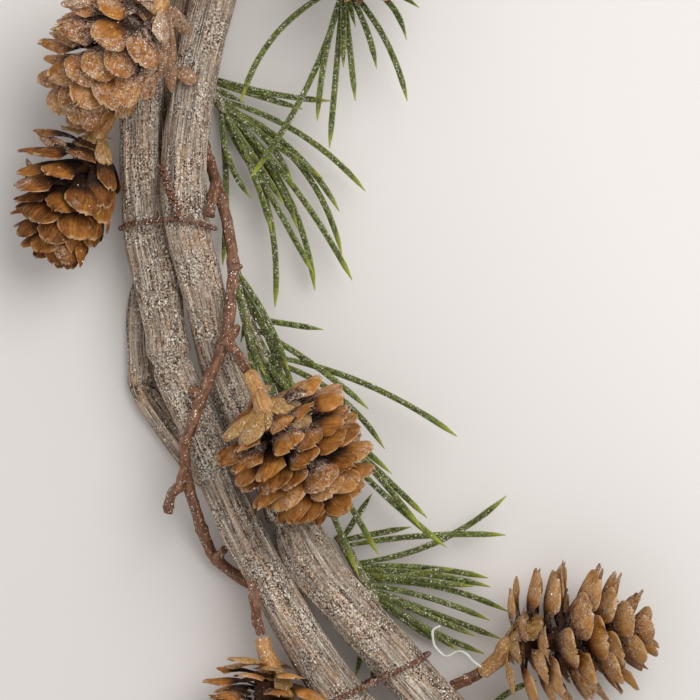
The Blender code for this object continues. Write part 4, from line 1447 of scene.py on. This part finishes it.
    def hang(
        self, piece: bpy.types.Object, slot: str, *nodes: str, dust: Dust | None = None, seed: int = 1
    ) -> None:
        """Puts a piece in place of its solids, with glitter on it.

        Args:
            piece: The piece.
            slot: The slot of its finish; not used.
            nodes: The solids that it replaces.
            dust: Its glitter, if it has any.
            seed: What varies the glitter.
        """
        if dust:
            inputs = {
                "Density": dust.density * GRAINS_PER_METRE, "Under": dust.under,
                "Smallest": dust.smallest * MM, "Largest": dust.largest * MM, "Seed": seed,
                "Grain": self.grain, "Finish": self.finish.glitter,
            }
            Growth.bake(piece, self.dust, inputs)
        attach(piece, "root")
        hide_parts(*nodes)
        log.info("%s: %d faces, in place of %s", piece.name, len(piece.data.polygons), ", ".join(nodes))


# --- sub-assemblies ---


@dataclass
class Assembly:
    """A sub-assembly of the wreath.

    Attributes:
        shop: Where its pieces are made.
    """

    shop: Workshop

    def build(self) -> None:
        """Builds its pieces and hangs them on the frame."""
        raise NotImplementedError


def bell(distance: float) -> float:
    """Fades from 1 at no distance along a bell curve."""
    return math.exp(-(distance**2))


@dataclass
class Canes(Assembly):
    """The two thick canes and the two thin ones that wind round them.

    Attributes:
        seen: The turns between which they are finest.
        fine: Turn between two cross-sections there.
        coarse: Turn between two cross-sections elsewhere.
        swell: Radius of the ridged bark as a share of the bare cane's.
        knuckles: Where a cane has a joint: a lip with a crease after it.
        lip: How far before the crease the lip lies, the turn it fades over and its height as a share.
        crease: The turn that the crease fades over and its depth as a share.
        swollen: Where a cane is broader on its outer side: its turn, the turn it fades over and how much.
        thick_skin: Relief of the thick canes.
        thin_skin: Relief of the thin canes.
        thick_dust: Glitter on the thick canes.
        thin_dust: Glitter on the thin canes.
    """

    seen: tuple[float, float] = (146.0, 244.0)
    fine: float = 0.28
    coarse: float = 0.6
    swell: float = 1.03
    knuckles: tuple[tuple[str, float], ...] = (
        ("outer_cane", 193.6), ("inner_cane", 207.5), ("thin_cane", 194.9),
    )
    lip: tuple[float, float, float] = (0.7, 0.7, 0.07)
    crease: tuple[float, float] = (0.42, 0.17)
    swollen: tuple[tuple[str, float, float, float], ...] = (("inner_cane", 210.8, 3.4, 1.0),)
    thick_skin: Skin = Skin(64, 1.0, 0.36, 2.1, 0.6, 3.4, 0.06, 0.5, 11.0)
    thin_skin: Skin = Skin(40, 1.0, 0.3, 1.1, 0.5, 2.0, 0.05, 0.25, 7.0)
    thick_dust: Dust = Dust(1.15, 0.17, 0.46, 0.12)
    thin_dust: Dust = Dust(0.45, 0.17, 0.46, 0.12)

    def route(self, name: str, ends: tuple[float, float], read_at: Callable[[float], Spot]) -> Route:
        """Follows a cane from one end to the other.

        Args:
            name: The cane's name.
            ends: The turns where it starts and ends.
            read_at: Its course.

        Returns:
            Its route.
        """
        points, radii, turn = [], [], ends[0]
        joints = [at for cane, at in self.knuckles if cane == name]
        swells = [row[1:] for row in self.swollen if row[0] == name]
        before, lip_fade, lip_height = self.lip
        crease_fade, crease_depth = self.crease
        while turn < ends[1]:
            out, up, radius = read_at(turn)
            here = turn % 360
            extra = sum(more * bell((here - at) / fade) for at, fade, more in swells)
            points.append(place(turn, out + extra, up))
            lips = sum(bell((here - at + before) / lip_fade) for at in joints)
            creases = sum(bell((here - at) / crease_fade) for at in joints)
            relief = 1 + lip_height * lips - crease_depth * creases
            radii.append((radius * self.swell + extra) * relief)
            near = self.seen[0] <= here <= self.seen[1]
            turn += self.fine if near else self.coarse
        return Route(points, radii)

    def build(self) -> None:
        """Builds the canes."""
        thick = (self.thick_skin, self.shop.finish.cane, self.thick_dust)
        thin = (self.thin_skin, self.shop.finish.thin, self.thin_dust)
        rows = (
            ("outer_cane", "vine_outer", thick), ("inner_cane", "vine_inner", thick),
            ("thin_cane", "vine_thin", thin), ("thin_cane_far", "vine_thin_far", thin),
        )
        for seed, ((name, node, (skin, finish, dust)), run) in enumerate(zip(rows, Layout.runs()), 1):
            piece = self.shop.tubes(name, [self.route(name, *run)], skin, finish, Twist.LEVEL, seed)
            self.shop.hang(piece, "vine_bark", node, dust=dust, seed=seed)


@dataclass
class Ties(Assembly):
    """The paper-wrapped wires that hold the canes together, each with a twisted tail.

    Attributes:
        radius: The wire's radius.
        lift: How clear of the bark it runs.
        steps: Points round a loop.
        spacing: The least distance between two of those points.
        bow: Turn by which the first loop rises between its ends.
        pitch: Length of one turn of a twisted tail.
        strand: Distance from a tail's middle to its wires.
        tail_share: Radius of a tail's wires as a share of the loop's.
        lean: How far a tail of the far side leans along the ring, as a share of its length.
        fan: How far it leans out or in.
        rises: How high its bend and its end stand over the loop.
        skin: The wire's relief.
        dust: Its glitter.
    """

    radius: float = 0.55
    lift: float = 0.25
    steps: int = 72
    spacing: float = 0.6
    bow: float = 1.1
    pitch: float = 4.2
    strand: float = 0.5
    tail_share: float = 0.92
    lean: float = 0.8
    fan: float = 0.25
    rises: tuple[float, float] = (2.2, 2.0)
    skin: Skin = Skin(8, 1.0, 0.08, 0.6, 0.0, 1.0, 0.4, 0.05, 2.0)
    dust: Dust = Dust(0.5, 0.18, 0.4)

    def loop(self, turns: tuple[float, float], bow: float) -> Route:
        """Runs the wire tight round every cane that it passes.

        Args:
            turns: Its turn on the outer and on the inner side of the ring.
            bow: Turn by which it rises between them.

        Returns:
            Its route.
        """
        middle = sum(turns) / 2
        canes = Layout.canes_at(middle)
        centre = sum(c[0] for c in canes) / len(canes)
        points: list[Vector] = []
        for k in range(self.steps):
            out, up = Layout.seat(middle, 360 * k / self.steps, self.radius + self.lift, LOOP_SPREAD / 2)
            share = (out - centre) / LOOP_SPAN * 2
            slant = (turns[0] - turns[1]) * share / 2 - bow * max(0.0, 1 - share**2) ** 0.8
            point = place(middle + slant, out, up)
            if all((point - kept).length > self.spacing for kept in points[:1] + points[-1:]):
                points.append(point)
        return Route(points, [self.radius] * len(points), closed=True)

    @staticmethod
    def nearest_on(loop: Sequence[Vector], target: Vector) -> Vector:
        """Finds the point of a closed path that lies nearest to a target.

        Args:
            loop: The path.
            target: The target.

        Returns:
            The point.
        """
        spots = []
        for k, end in enumerate(loop):
            span = end - loop[k - 1]
            share = (target - loop[k - 1]).dot(span) / span.length_squared
            spots.append(loop[k - 1] + span * min(max(share, 0.0), 1.0))
        return min(spots, key=lambda spot: (spot - target).length)

    def twisted(self, path: Sequence[Vector]) -> list[Route]:
        """Twists two wires round a path.

        Args:
            path: The path's corners.

        Returns:
            The wires' routes.
        """
        fine = smooth(path, 12)
        wide = self.strand
        strands = []
        for phase in (0.0, math.pi):
            length, points = 0.0, []
            for k, point in enumerate(fine):
                ahead = (fine[min(k + 1, len(fine) - 1)] - fine[max(k - 1, 0)]).normalized()
                across = ahead.cross(UP).normalized()
                over = across.cross(ahead)
                if k:
                    length += (point - fine[k - 1]).length
                angle = phase + 2 * math.pi * length / self.pitch
                points.append(point + across * (wide * math.cos(angle)) + over * (wide * math.sin(angle)))
            strands.append(Route(points, [self.radius * self.tail_share] * len(points)))
        return strands

    def build(self) -> None:
        """Builds the ties."""
        for number, turns in enumerate(TIES, 1):
            loop = self.loop(turns, self.bow if number == 1 else 0.0)
            along = UP.cross(outward(sum(turns) / 2))
            if number <= len(SEEN_TAILS):
                route = [place(*row) for row in SEEN_TAILS[number - 1]]
                route[0] = self.nearest_on(loop.points, route[0])
            else:
                top = max(loop.points, key=lambda point: point.z)
                ahead = along * (self.lean if number % 2 else -self.lean)
                lean = ahead + outward(turns[0]) * self.fan * (-1) ** (number // 2)
                bend, end = self.rises
                route = [top, top + lean * TAIL_BEND + UP * bend, top + lean * TAIL_LENGTH + UP * end]
            routes, finish = [loop, *self.twisted(route)], self.shop.finish.wire
            piece = self.shop.tubes(f"tie_{number}_wire", routes, self.skin, finish, seed=number)
            self.shop.hang(piece, "tie_wire", f"tie_{number}", dust=self.dust, seed=number)


@dataclass(frozen=True)
class Look:
    """How a cone has opened and weathered. Angles are in degrees.

    Attributes:
        count: Number of scales.
        open: Lean of its lowest scales from the axis.
        tip_open: Lean of its last scales.
        spin: Turn of the whole cone about its axis.
        reach: Length of its largest scale as a share of its radius.
        tint: How light its scales are, from 0 to 1.
        icing: How much of it is crusted with frost, from 0 to 1.
        foot: Size of its lowest scales as a share of the largest.
        press: How flat the canes press the scales of one side, from 0 to 1.
        lobes: Length of the lobes of its socket as a share of its radius.
    """

    count: int = 48
    open: float = 90.0
    tip_open: float = 20.0
    spin: float = 0.0
    reach: float = 0.92
    tint: float = 0.5
    icing: float = 0.4
    foot: float = 0.85
    press: float = 0.0
    lobes: float = 0.6


@dataclass
class ConeForm:
    """One cone's place and size in millimetres.

    Attributes:
        base: The foot of its axis.
        tip: The end of its axis.
        radius: Its radius.
        look: How it has opened and weathered.
        seed: What varies it.
        core: Radius of its woody middle.
        against: The direction in which the canes lie.
    """

    base: Vector
    tip: Vector
    radius: float
    look: Look
    seed: int = 1
    core: float = 3.4
    against: Vector = field(default_factory=lambda: Vector((1.0, 0.0, 0.0)))


CONE_LOOKS = (
    Look(54, 74, 16, 0.0, 0.98, 0.36, 0.76, 0.85, 0.5),
    Look(56, 76, 18, 40.0, 1.02, 0.1, 0.3, 0.95, 0.6),
    Look(70, 94, 48, 80.0, 0.92, 0.36, 0.45, 0.9, lobes=0.7),
    Look(60, 88, 38, 10.0, 0.97, 0.8, 0.7, 0.9, lobes=0.75),
    Look(58, 92, 30, 60.0, 0.95, 0.5, 0.4, lobes=0.75),
)
LOBES = Look(8, 86, 78, 0.0, 0.6, 0.5, 0.4, 1.0, 0.6)  # the thin lobes of a socket's mouth


@dataclass
class Cones(Assembly):
    """The five larch cones that sit in moulded sockets on the near stretch.

    Attributes:
        tube: Radius of a socket at its stem.
        cup: Radius of its mouth.
        widening: How much its tube widens before the cup.
        straight: Where its straight part starts and ends, from the foot of the cone.
        lobe_span: Where the lobes' axis starts and ends, from the foot of the cone.
        lobe_core: Radius of the woody middle inside the lobes.
        crusted: The icing over which a cone's lobes are crusted with frost too.
        string_radius: Radius of the string of glue.
        torn_rise: How far a torn scale arches.
        torn_profile: Its half width along it, as a share of its greatest.
        glue_skin: Relief of the glue.
        torn_skin: Relief of the torn scales.
        socket_skin: Relief of the sockets.
        torn_dust: Glitter on the torn scales of the first cone and of the second.
        socket_dust: Glitter on the sockets.
    """

    tube: float = 1.6
    cup: float = 3.8
    widening: float = 0.5
    straight: tuple[float, float] = (1.6, 1.2)
    lobe_span: tuple[float, float] = (1.8, 0.6)
    lobe_core: float = 1.8
    crusted: float = 0.75
    string_radius: float = 0.3
    torn_rise: float = 0.6
    torn_profile: tuple[float, ...] = (0.5, 0.7, 0.85, 0.95, 1.0, 0.95, 0.85, 0.6, 0.2)
    glue_skin: Skin = Skin(8, 0.8, 0.1, 0.8, 0.0, 1.0, 0.5, 0.12, 1.6)
    torn_skin: Skin = Skin(10, 0.22, 0.1, 0.5, 0.0, 1.0, 0.3, 0.15, 1.6)
    socket_skin: Skin = Skin(20, 1.0, 0.12, 1.2, 0.0, 1.0, 0.35, 0.22, 2.6)
    torn_dust: tuple[Dust, Dust] = (Dust(0.8, 0.13, 0.42), Dust(0.2, 0.13, 0.42))
    socket_dust: Dust = Dust(0.3, 0.12, 0.3)

    def build_string(self) -> None:
        """Builds the string of glue."""
        path = smooth([place(*spot) for spot in GLUE_STRING], 6)
        routes = [Route(path, [self.string_radius] * len(path))]
        piece = self.shop.tubes("glue_string", routes, self.glue_skin, self.shop.finish.glue)
        self.shop.hang(piece, "socket_resin", "cone_socket_4")

    def build_torn(self, number: int) -> None:
        """Builds the torn scales of a cone.

        Args:
            number: Which cone.
        """
        routes = []
        for low, high, wide, cone in TORN_SCALES:
            if cone == number:
                root, end = place(*low), place(*high)
                points = smooth([root, root.lerp(end, 0.5) + UP * self.torn_rise, end], 4)
                routes.append(Route(points, [wide * share for share in self.torn_profile]))
        name, finish = f"torn_scales_{number}", self.shop.finish.torn
        piece = self.shop.tubes(name, routes, self.torn_skin, finish, Twist.LEVEL, number)
        self.shop.hang(piece, "cone_scale", f"cone_{number}", dust=self.torn_dust[number - 1], seed=number)

    def build_socket(self, number: int, foot: Vector, axis: Vector) -> None:
        """Builds the socket of a cone.

        Args:
            number: Which cone.
            foot: The foot of its axis.
            axis: Its direction.
        """
        start = place(*SOCKETS[number - 1])
        before, past = self.straight
        path = smooth([start, start.lerp(foot, 0.5), foot - axis * before, foot + axis * past], 8)
        flare, shares = self.cup - self.tube, np.linspace(0, 1, len(path)).tolist()
        routes = [Route(path, [self.tube + self.widening * t + flare * t**7 for t in shares])]
        finish = self.shop.finish.socket
        piece = self.shop.tubes(f"socket_{number}", routes, self.socket_skin, finish, seed=number)
        self.shop.hang(piece, "socket_resin", f"cone_socket_{number}", dust=self.socket_dust, seed=number)

    def build(self) -> None:
        """Builds the cones and their sockets."""
        self.build_string()
        for number in sorted({row[-1] for row in TORN_SCALES}):
            self.build_torn(number)
        for number, ((base, tip, radius), look) in enumerate(zip(CONES, CONE_LOOKS), 1):
            foot, end, against = place(*base), place(*tip), -outward(base[0])
            axis = (end - foot).normalized()
            form = ConeForm(foot, end, radius, look, number, against=against)
            piece = self.shop.scales_of(f"cone_{number}_scales", form)
            dust = Dust(0.08 + 0.3 * look.icing, 0.13, 0.5)
            self.shop.hang(piece, "cone_scale", f"cone_{number}", dust=dust, seed=number)
            self.build_socket(number, foot, axis)
            low, high = (foot - axis * back for back in self.lobe_span)
            lobes = replace(LOBES, reach=look.lobes)
            form = ConeForm(low, high, radius, lobes, number + len(CONES) + 2, self.lobe_core, against)
            finish = self.shop.finish.crust if look.icing > self.crusted else self.shop.finish.socket
            piece = self.shop.scales_of(f"socket_{number}_lobes", form, finish=finish)
            dust = Dust(0.2 + 0.5 * look.icing, 0.14, 0.4)
            self.shop.hang(piece, "socket_resin", f"cone_socket_{number}", dust=dust, seed=number)


@dataclass
class Twigs(Assembly):
    """The moulded brown twigs that carry the cones.

    Attributes:
        slim: Radius of a twig as a share of its table's.
        knot: How much a knot thickens it, as a share.
        knot_step: How fast its knots come along it.
        knob_shape: Radii along a knob as shares of its greatest.
        skin: Its relief.
        dust: Its glitter.
    """

    slim: float = 0.96
    knot: float = 0.22
    knot_step: float = 0.55
    knob_shape: tuple[float, ...] = (1.0, 0.85, 0.35)
    skin: Skin = Skin(14, 1.0, 0.12, 0.9, 0.0, 1.0, 0.25, 0.3, 2.4)
    dust: Dust = Dust(0.35, 0.12, 0.32, 0.2)

    def build(self) -> None:
        """Builds the twigs."""
        for seed, (name, table) in enumerate(TWIGS.items(), 1):
            routes = []
            for radius, *spots in table:
                path = smooth([place(*spot) for spot in spots], 8)
                waves = [max(0.0, math.cos(k * self.knot_step + seed)) for k in range(len(path))]
                knots = [self.knot * wave**8 for wave in waves]
                routes.append(Route(path, [radius * self.slim * (1 + knot) for knot in knots]))
            for low, high, radius in TWIG_KNOBS if name == "long" else ():
                root, end = place(*low), place(*high)
                radii = [radius * share for share in self.knob_shape]
                routes.append(Route([root, root.lerp(end, 0.7), end], radii))
            finish = self.shop.finish.twig
            piece = self.shop.tubes(f"twig_{name}_stem", routes, self.skin, finish, seed=seed)
            self.shop.hang(piece, "twig_bark", f"twig_{name}", dust=self.dust, seed=seed)


@dataclass
class Sprigs(Assembly):
    """The green sprigs: a short stem and its fan of flat needles.

    Attributes:
        half_width: Half the width of a needle.
        steps: Cross-sections along a needle.
        point: Length over which a needle comes to a point.
        stem_radius: Radius of the stem.
        stem_end: Radii at the stem's last points.
        needle_skin: Relief of the needles.
        stem_skin: Relief of the stem.
        needle_dust: Glitter on the needles.
        stem_dust: Glitter on the stem.
    """

    half_width: float = 0.64
    steps: int = 14
    point: float = 4.2
    stem_radius: float = 1.15
    stem_end: tuple[float, ...] = (1.0, 0.8, 0.5)
    needle_skin: Skin = Skin(8, 0.5, 0.05, 0.6, 0.0, 1.0, 0.15, 0.06, 2.0)
    stem_skin: Skin = Skin(10, 1.0, 0.15, 0.8, 0.0, 1.0, 0.3, 0.3, 2.0)
    needle_dust: Dust = Dust(0.55, 0.16, 0.42)
    stem_dust: Dust = Dust(0.5, 0.16, 0.42)

    def needle(self, start: Vector, row: Row, shade: float) -> Route:
        """Draws one needle.

        Args:
            start: Its root on the stem.
            row: Its heading, length, bow to the left and rise.
            shade: Its tint.

        Returns:
            Its route, tapered at both ends.
        """
        heading, length, bow, rise = row
        ahead = outward(heading)
        left = UP.cross(ahead)
        points, radii = [], []
        for k in range(self.steps + 1):
            t = k / self.steps
            height = rise * (1.4 * t - 0.4 * t * t)
            points.append(start + ahead * (length * t) + left * (4 * bow * t * (1 - t)) + UP * height)
            radii.append(self.half_width * min(0.62 + 1.6 * t, 1.0, 0.12 + (1 - t) * length / self.point))
        return Route(points, radii, shade)

    def build_one(
        self, name: str, node: str, stem: list[Vector], needles: Sequence[Row], seed: int
    ) -> None:
        """Builds one sprig.

        Args:
            name: The sprig's name.
            node: Its solid.
            stem: The stem's points.
            needles: Share along the stem, heading, length, bow and rise of each.
            seed: What varies it.
        """
        rng = np.random.default_rng(seed)
        path = smooth(stem, 2)
        routes = []
        for share, *row in needles:
            at = share * (len(path) - 1.3)
            start = path[int(at)].lerp(path[int(at) + 1], at - int(at))
            routes.append(self.needle(start, tuple(row), float(rng.random())))
        finish = self.shop.finish.needle
        piece = self.shop.tubes(f"{name}_needles", routes, self.needle_skin, finish, Twist.LEVEL, seed)
        self.shop.hang(piece, "needle_green", node, dust=self.needle_dust, seed=seed)
        fine = smooth(stem, 8)
        stalk = Route(fine, [self.stem_radius] * (len(fine) - len(self.stem_end)) + [*self.stem_end])
        piece = self.shop.tubes(f"{name}_stem", [stalk], self.stem_skin, self.shop.finish.stem, seed=seed)
        self.shop.hang(piece, "needle_green", node, dust=self.stem_dust, seed=seed)

    def build(self) -> None:
        """Builds the sprigs of the near stretch."""
        for number, (route, needles) in enumerate(SPRIGS, 1):
            stem = [place(*row) for row in route]
            self.build_one(f"sprig_{number}", f"sprig_{number}", stem, needles, number)


@dataclass
class FarSide(Assembly):
    """The dressing of the rest of the ring: at each station two cones on a forked stem, and a sprig.

    Attributes:
        stem_clearance: How clear of the canes a stem's fork and its bend run.
        stem_swell: How fast a stem swells towards its cone, and from which share of the way.
        inset: How far before its foot a cone's stem straightens, and how far past it the stem ends.
        cone_reach: The turns round its middle over which a cone clears the canes.
        stem_skin: Relief of the stems.
        cone_dust: Glitter on the cones.
        lone_dust: Glitter on the lone cone.
    """

    stem_clearance: tuple[float, float] = (1.2, 0.9)
    stem_swell: tuple[float, float] = (1.4, 0.6)
    inset: tuple[float, float] = (2.5, 2)
    cone_reach: tuple[int, ...] = (-4, 0, 4)
    stem_skin: Skin = Skin(10, 1.0, 0.1, 0.9, 0.0, 1.0, 0.25, 0.2, 2.4)
    cone_dust: Dust = Dust(0.12, 0.25, 0.55)
    lone_dust: Dust = Dust(0.3, 0.18, 0.5)

    def spot(self, turn: float, direction: float) -> tuple[Vector, Vector]:
        """Places a cone clear of every cane under it.

        Args:
            turn: Where on the ring.
            direction: From which side of the canes.

        Returns:
            Its base and tip.
        """
        clear = FAR_CONE_RADIUS + FAR_CONE_GAP
        spots = [Layout.seat(turn + ahead, direction, clear) for ahead in self.cone_reach]
        across, over = math.cos(math.radians(direction)), math.sin(math.radians(direction))
        out, up = max(spots, key=lambda s: s[0] * across + s[1] * over)
        centre = place(turn, out, max(up, FAR_CONE_RADIUS + 1.0))
        away = outward(turn) * across + UP * over
        lean = math.radians(FAR_CONE_LEAN)
        axis = UP.cross(outward(turn)) * math.cos(lean) + away * math.sin(lean)
        return centre - axis * (FAR_CONE_LENGTH / 2), centre + axis * (FAR_CONE_LENGTH / 2)

    def stem_to(self, base: Vector, tip: Vector, *start: Vector) -> list[Vector]:
        """Runs a stem from its first points straight into the foot of a cone."""
        axis, (before, past) = (tip - base).normalized(), self.inset
        return smooth([*start, base - axis * before, base + axis * past], 8)

    def pick(self, number: int, station: float, side: Side) -> None:
        """Builds the two cones of a station and their stem.

        Args:
            number: The pick's number.
            station: Its turn.
            side: The side of its low cone.
        """
        side_direction = SIDE_LIFT if side is Side.OUTER else 180 - SIDE_LIFT
        fork_clear, bend_clear = (PICK_STEM_RADIUS + gap for gap in self.stem_clearance)
        at, fork_at, bend_at = station - ROOT_AHEAD + 1, station - FORK_BACK, station + BEND_AHEAD
        root = place(at, *Layout.seat(at, TOP_DIRECTION, PICK_STEM_RADIUS + SEAT_GAP))
        fork_direction = TOP_DIRECTION - FORK_LEAN * side.value
        fork = place(fork_at, *Layout.seat(fork_at, fork_direction, fork_clear))
        bend = place(bend_at, *Layout.seat(bend_at, side_direction, bend_clear))
        rows = (
            ("top", station + TOP_AHEAD, TOP_DIRECTION, root, fork),
            ("side", station + SIDE_AHEAD, side_direction, fork, bend),
        )
        routes, (more, since) = [], self.stem_swell
        for label, turn, direction, *start in rows:
            base, tip = self.spot(turn, direction)
            form = ConeForm(base, tip, FAR_CONE_RADIUS, Look(spin=number * 50.0), number * 2 + len(routes))
            piece = self.shop.scales_of(f"pick_{number}_{label}_cone", form, fine=False)
            self.shop.hang(piece, "cone_scale", f"cone_pick_{number}", dust=self.cone_dust, seed=number)
            path = self.stem_to(base, tip, *start)
            swells = [more * max(0.0, k / len(path) - since) for k in range(len(path))]
            routes.append(Route(path, [PICK_STEM_RADIUS + swell for swell in swells]))
        finish = self.shop.finish.twig
        piece = self.shop.tubes(f"pick_{number}_stem", routes, self.stem_skin, finish, seed=number)
        self.shop.hang(piece, "twig_bark", f"cone_pick_{number}")

    def lone_pick(self) -> None:
        """Builds the cone on its own stem at the upper end of the near stretch."""
        number, (low, high, radius) = len(STATIONS) + 1, LONE_CONE
        base, tip = place(*low), place(*high)
        piece = self.shop.scales_of(f"pick_{number}_cone", ConeForm(base, tip, radius, Look(), LONE_SEED))
        self.shop.hang(piece, "cone_scale", f"cone_pick_{number}", dust=self.lone_dust, seed=number)
        turn, direction, clear = LONE_ROOT
        path = self.stem_to(base, tip, place(turn, *Layout.seat(turn, direction, clear)), place(*LONE_BEND))
        routes = [Route(path, [PICK_STEM_RADIUS] * len(path))]
        piece = self.shop.tubes(f"pick_{number}_stem", routes, self.stem_skin, self.shop.finish.twig)
        self.shop.hang(piece, "twig_bark", f"cone_pick_{number}")

    def sprig(self, number: int, station: float, side: Side) -> None:
        """Builds the sprig on the side that the station's low cone leaves free.

        Args:
            number: The sprig's number.
            station: Its turn.
            side: The side of the low cone.
        """
        direction, sign = (180, -1) if side is Side.OUTER else (0, 1)
        stem = []
        for k, clear in enumerate(FAR_SPRIG_CLEAR):
            turn = station + FAR_SPRIG_SPAN * k / 2
            out, up = Layout.seat(turn, direction, clear)
            stem.append(place(turn, out, max(up, FAR_SPRIG_HEIGHT)))
        needles = []
        for k in range(FAR_SPRIG_NEEDLES):
            share = 0.35 + 0.65 * k / (FAR_SPRIG_NEEDLES - 1)
            swing = (-1) ** k * (18 + 5 * (k % 4))
            turn = station + FAR_SPRIG_SPAN * share
            heading = turn + 96 - sign * (28 + max(swing, -22) * 0.9)
            length = 20 + 9 * ((k * 5) % 4) / 3 + 6 * share
            needles.append((share, heading, length, 1.5 * (-1) ** (k // 2), -2.5 + 5.5 * ((k * 3) % 5) / 4))
        name, node = f"far_sprig_{number}", f"sprig_pick_{number}"
        Sprigs(self.shop).build_one(name, node, stem, needles, FAR_SPRIG_SEED + number)

    def build(self) -> None:
        """Builds the dressing of every station."""
        for number, station in enumerate(STATIONS, 1):
            side = Side.OUTER if number % 2 else Side.INNER
            self.pick(number, station, side)
            self.sprig(number, station, side)
        self.lone_pick()


@dataclass
class Studio:
    """A pale floor with painted light falloff, soft light from the upper right, and a camera that looks
    straight down.

    Attributes:
        centre: What the camera looks at, in metres.
        distance: The camera's distance from it.
        half_view: Half the width that it sees there.
        sensor: The camera's sensor width in millimetres.
        reach: Half the width of the floor, in metres.
        shades: The floor's colours from its left to its right, a painted light falloff that is darker away
            from the lamp.
        fill: Strength of the light from all round.
        lamp_size: Width of the lamp, in metres.
        lamp_power: Its power, in watts.
        lamp_offset: Where it stands from what the camera looks at.
    """

    centre: Vector = field(default_factory=lambda: Vector((-0.12954, -0.03443, 0.011)))
    distance: float = 1.2
    half_view: float = 0.0735
    sensor: float = 36.0
    reach: float = 3.0
    shades: tuple[tuple[float, Screen], ...] = (
        (0.1, (222, 216, 212)), (0.4, (227, 221, 217)), (0.63, (231, 226, 221)), (0.85, (242, 237, 233)),
    )
    fill: float = 0.62
    lamp_size: float = 1.2
    lamp_power: float = 12.2
    lamp_offset: tuple[float, float, float] = (0.54, 0.56, 1.27)

    def floor(self) -> None:
        """Lays the floor, a little darker to the left: painted light falloff away from the lamp."""
        corners = [(x * self.reach, y * self.reach, 0) for x, y in ((-1, -1), (1, -1), (1, 1), (-1, 1))]
        floor = linked("floor", corners, [], [(0, 1, 2, 3)])
        g = Shading("floor_paper")
        x, y, _ = g.split(g.here())
        # Painted light falloff: the floor darkens towards the lower left, away from the lamp.
        side = g.smooth(x + y * 0.6, -420.0, 40.0)
        colour = g.ramp(side, [(spot, linear(*screen)) for spot, screen in self.shades])
        paper = g.close({"Base Color": colour, "Roughness": 0.9, "Specular IOR Level": 0.1})
        floor.data.materials.append(paper)

    def light(self) -> None:
        """Lights the wreath from the upper right, with a soft fill from all round."""
        world = bpy.data.worlds.new("studio")
        world.use_nodes = True
        around = world.node_tree.nodes["Background"].inputs
        around["Color"].default_value = (1.0, 1.0, 1.0, 1.0)
        around["Strength"].default_value = self.fill
        bpy.context.scene.world = world
        lamp = bpy.data.lights.new("key", "AREA")
        lamp.shape = "DISK"
        lamp.size = self.lamp_size
        lamp.energy = self.lamp_power
        key = bpy.data.objects.new("key", lamp)
        key.location = self.centre + Vector(self.lamp_offset)
        key.rotation_euler = (self.centre - key.location).to_track_quat("-Z", "Y").to_euler()
        bpy.context.scene.collection.objects.link(key)

    def camera(self) -> None:
        """Sets the camera straight above the near stretch."""
        lens = bpy.data.cameras.new("camera")
        lens.sensor_width = self.sensor
        lens.lens = self.sensor / 2 * self.distance / self.half_view
        lens.clip_end = 20.0
        camera = bpy.data.objects.new("camera", lens)
        camera.location = self.centre + UP * self.distance
        bpy.context.scene.collection.objects.link(camera)
        bpy.context.scene.camera = camera

    def build(self) -> None:
        """Builds the studio."""
        self.floor()
        self.light()
        self.camera()
        bpy.context.scene.view_settings.view_transform = "Standard"


def main() -> None:
    """Builds the studio and the wreath."""
    logging.basicConfig(level=logging.INFO, format="%(message)s")
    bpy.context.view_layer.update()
    Studio().build()
    shop = Workshop()
    for kind in (Canes, Ties, Cones, Twigs, Sprigs, FarSide):
        kind(shop).build()
        log.info("%s done", kind.__name__)


if __name__ == "__main__":
    main()
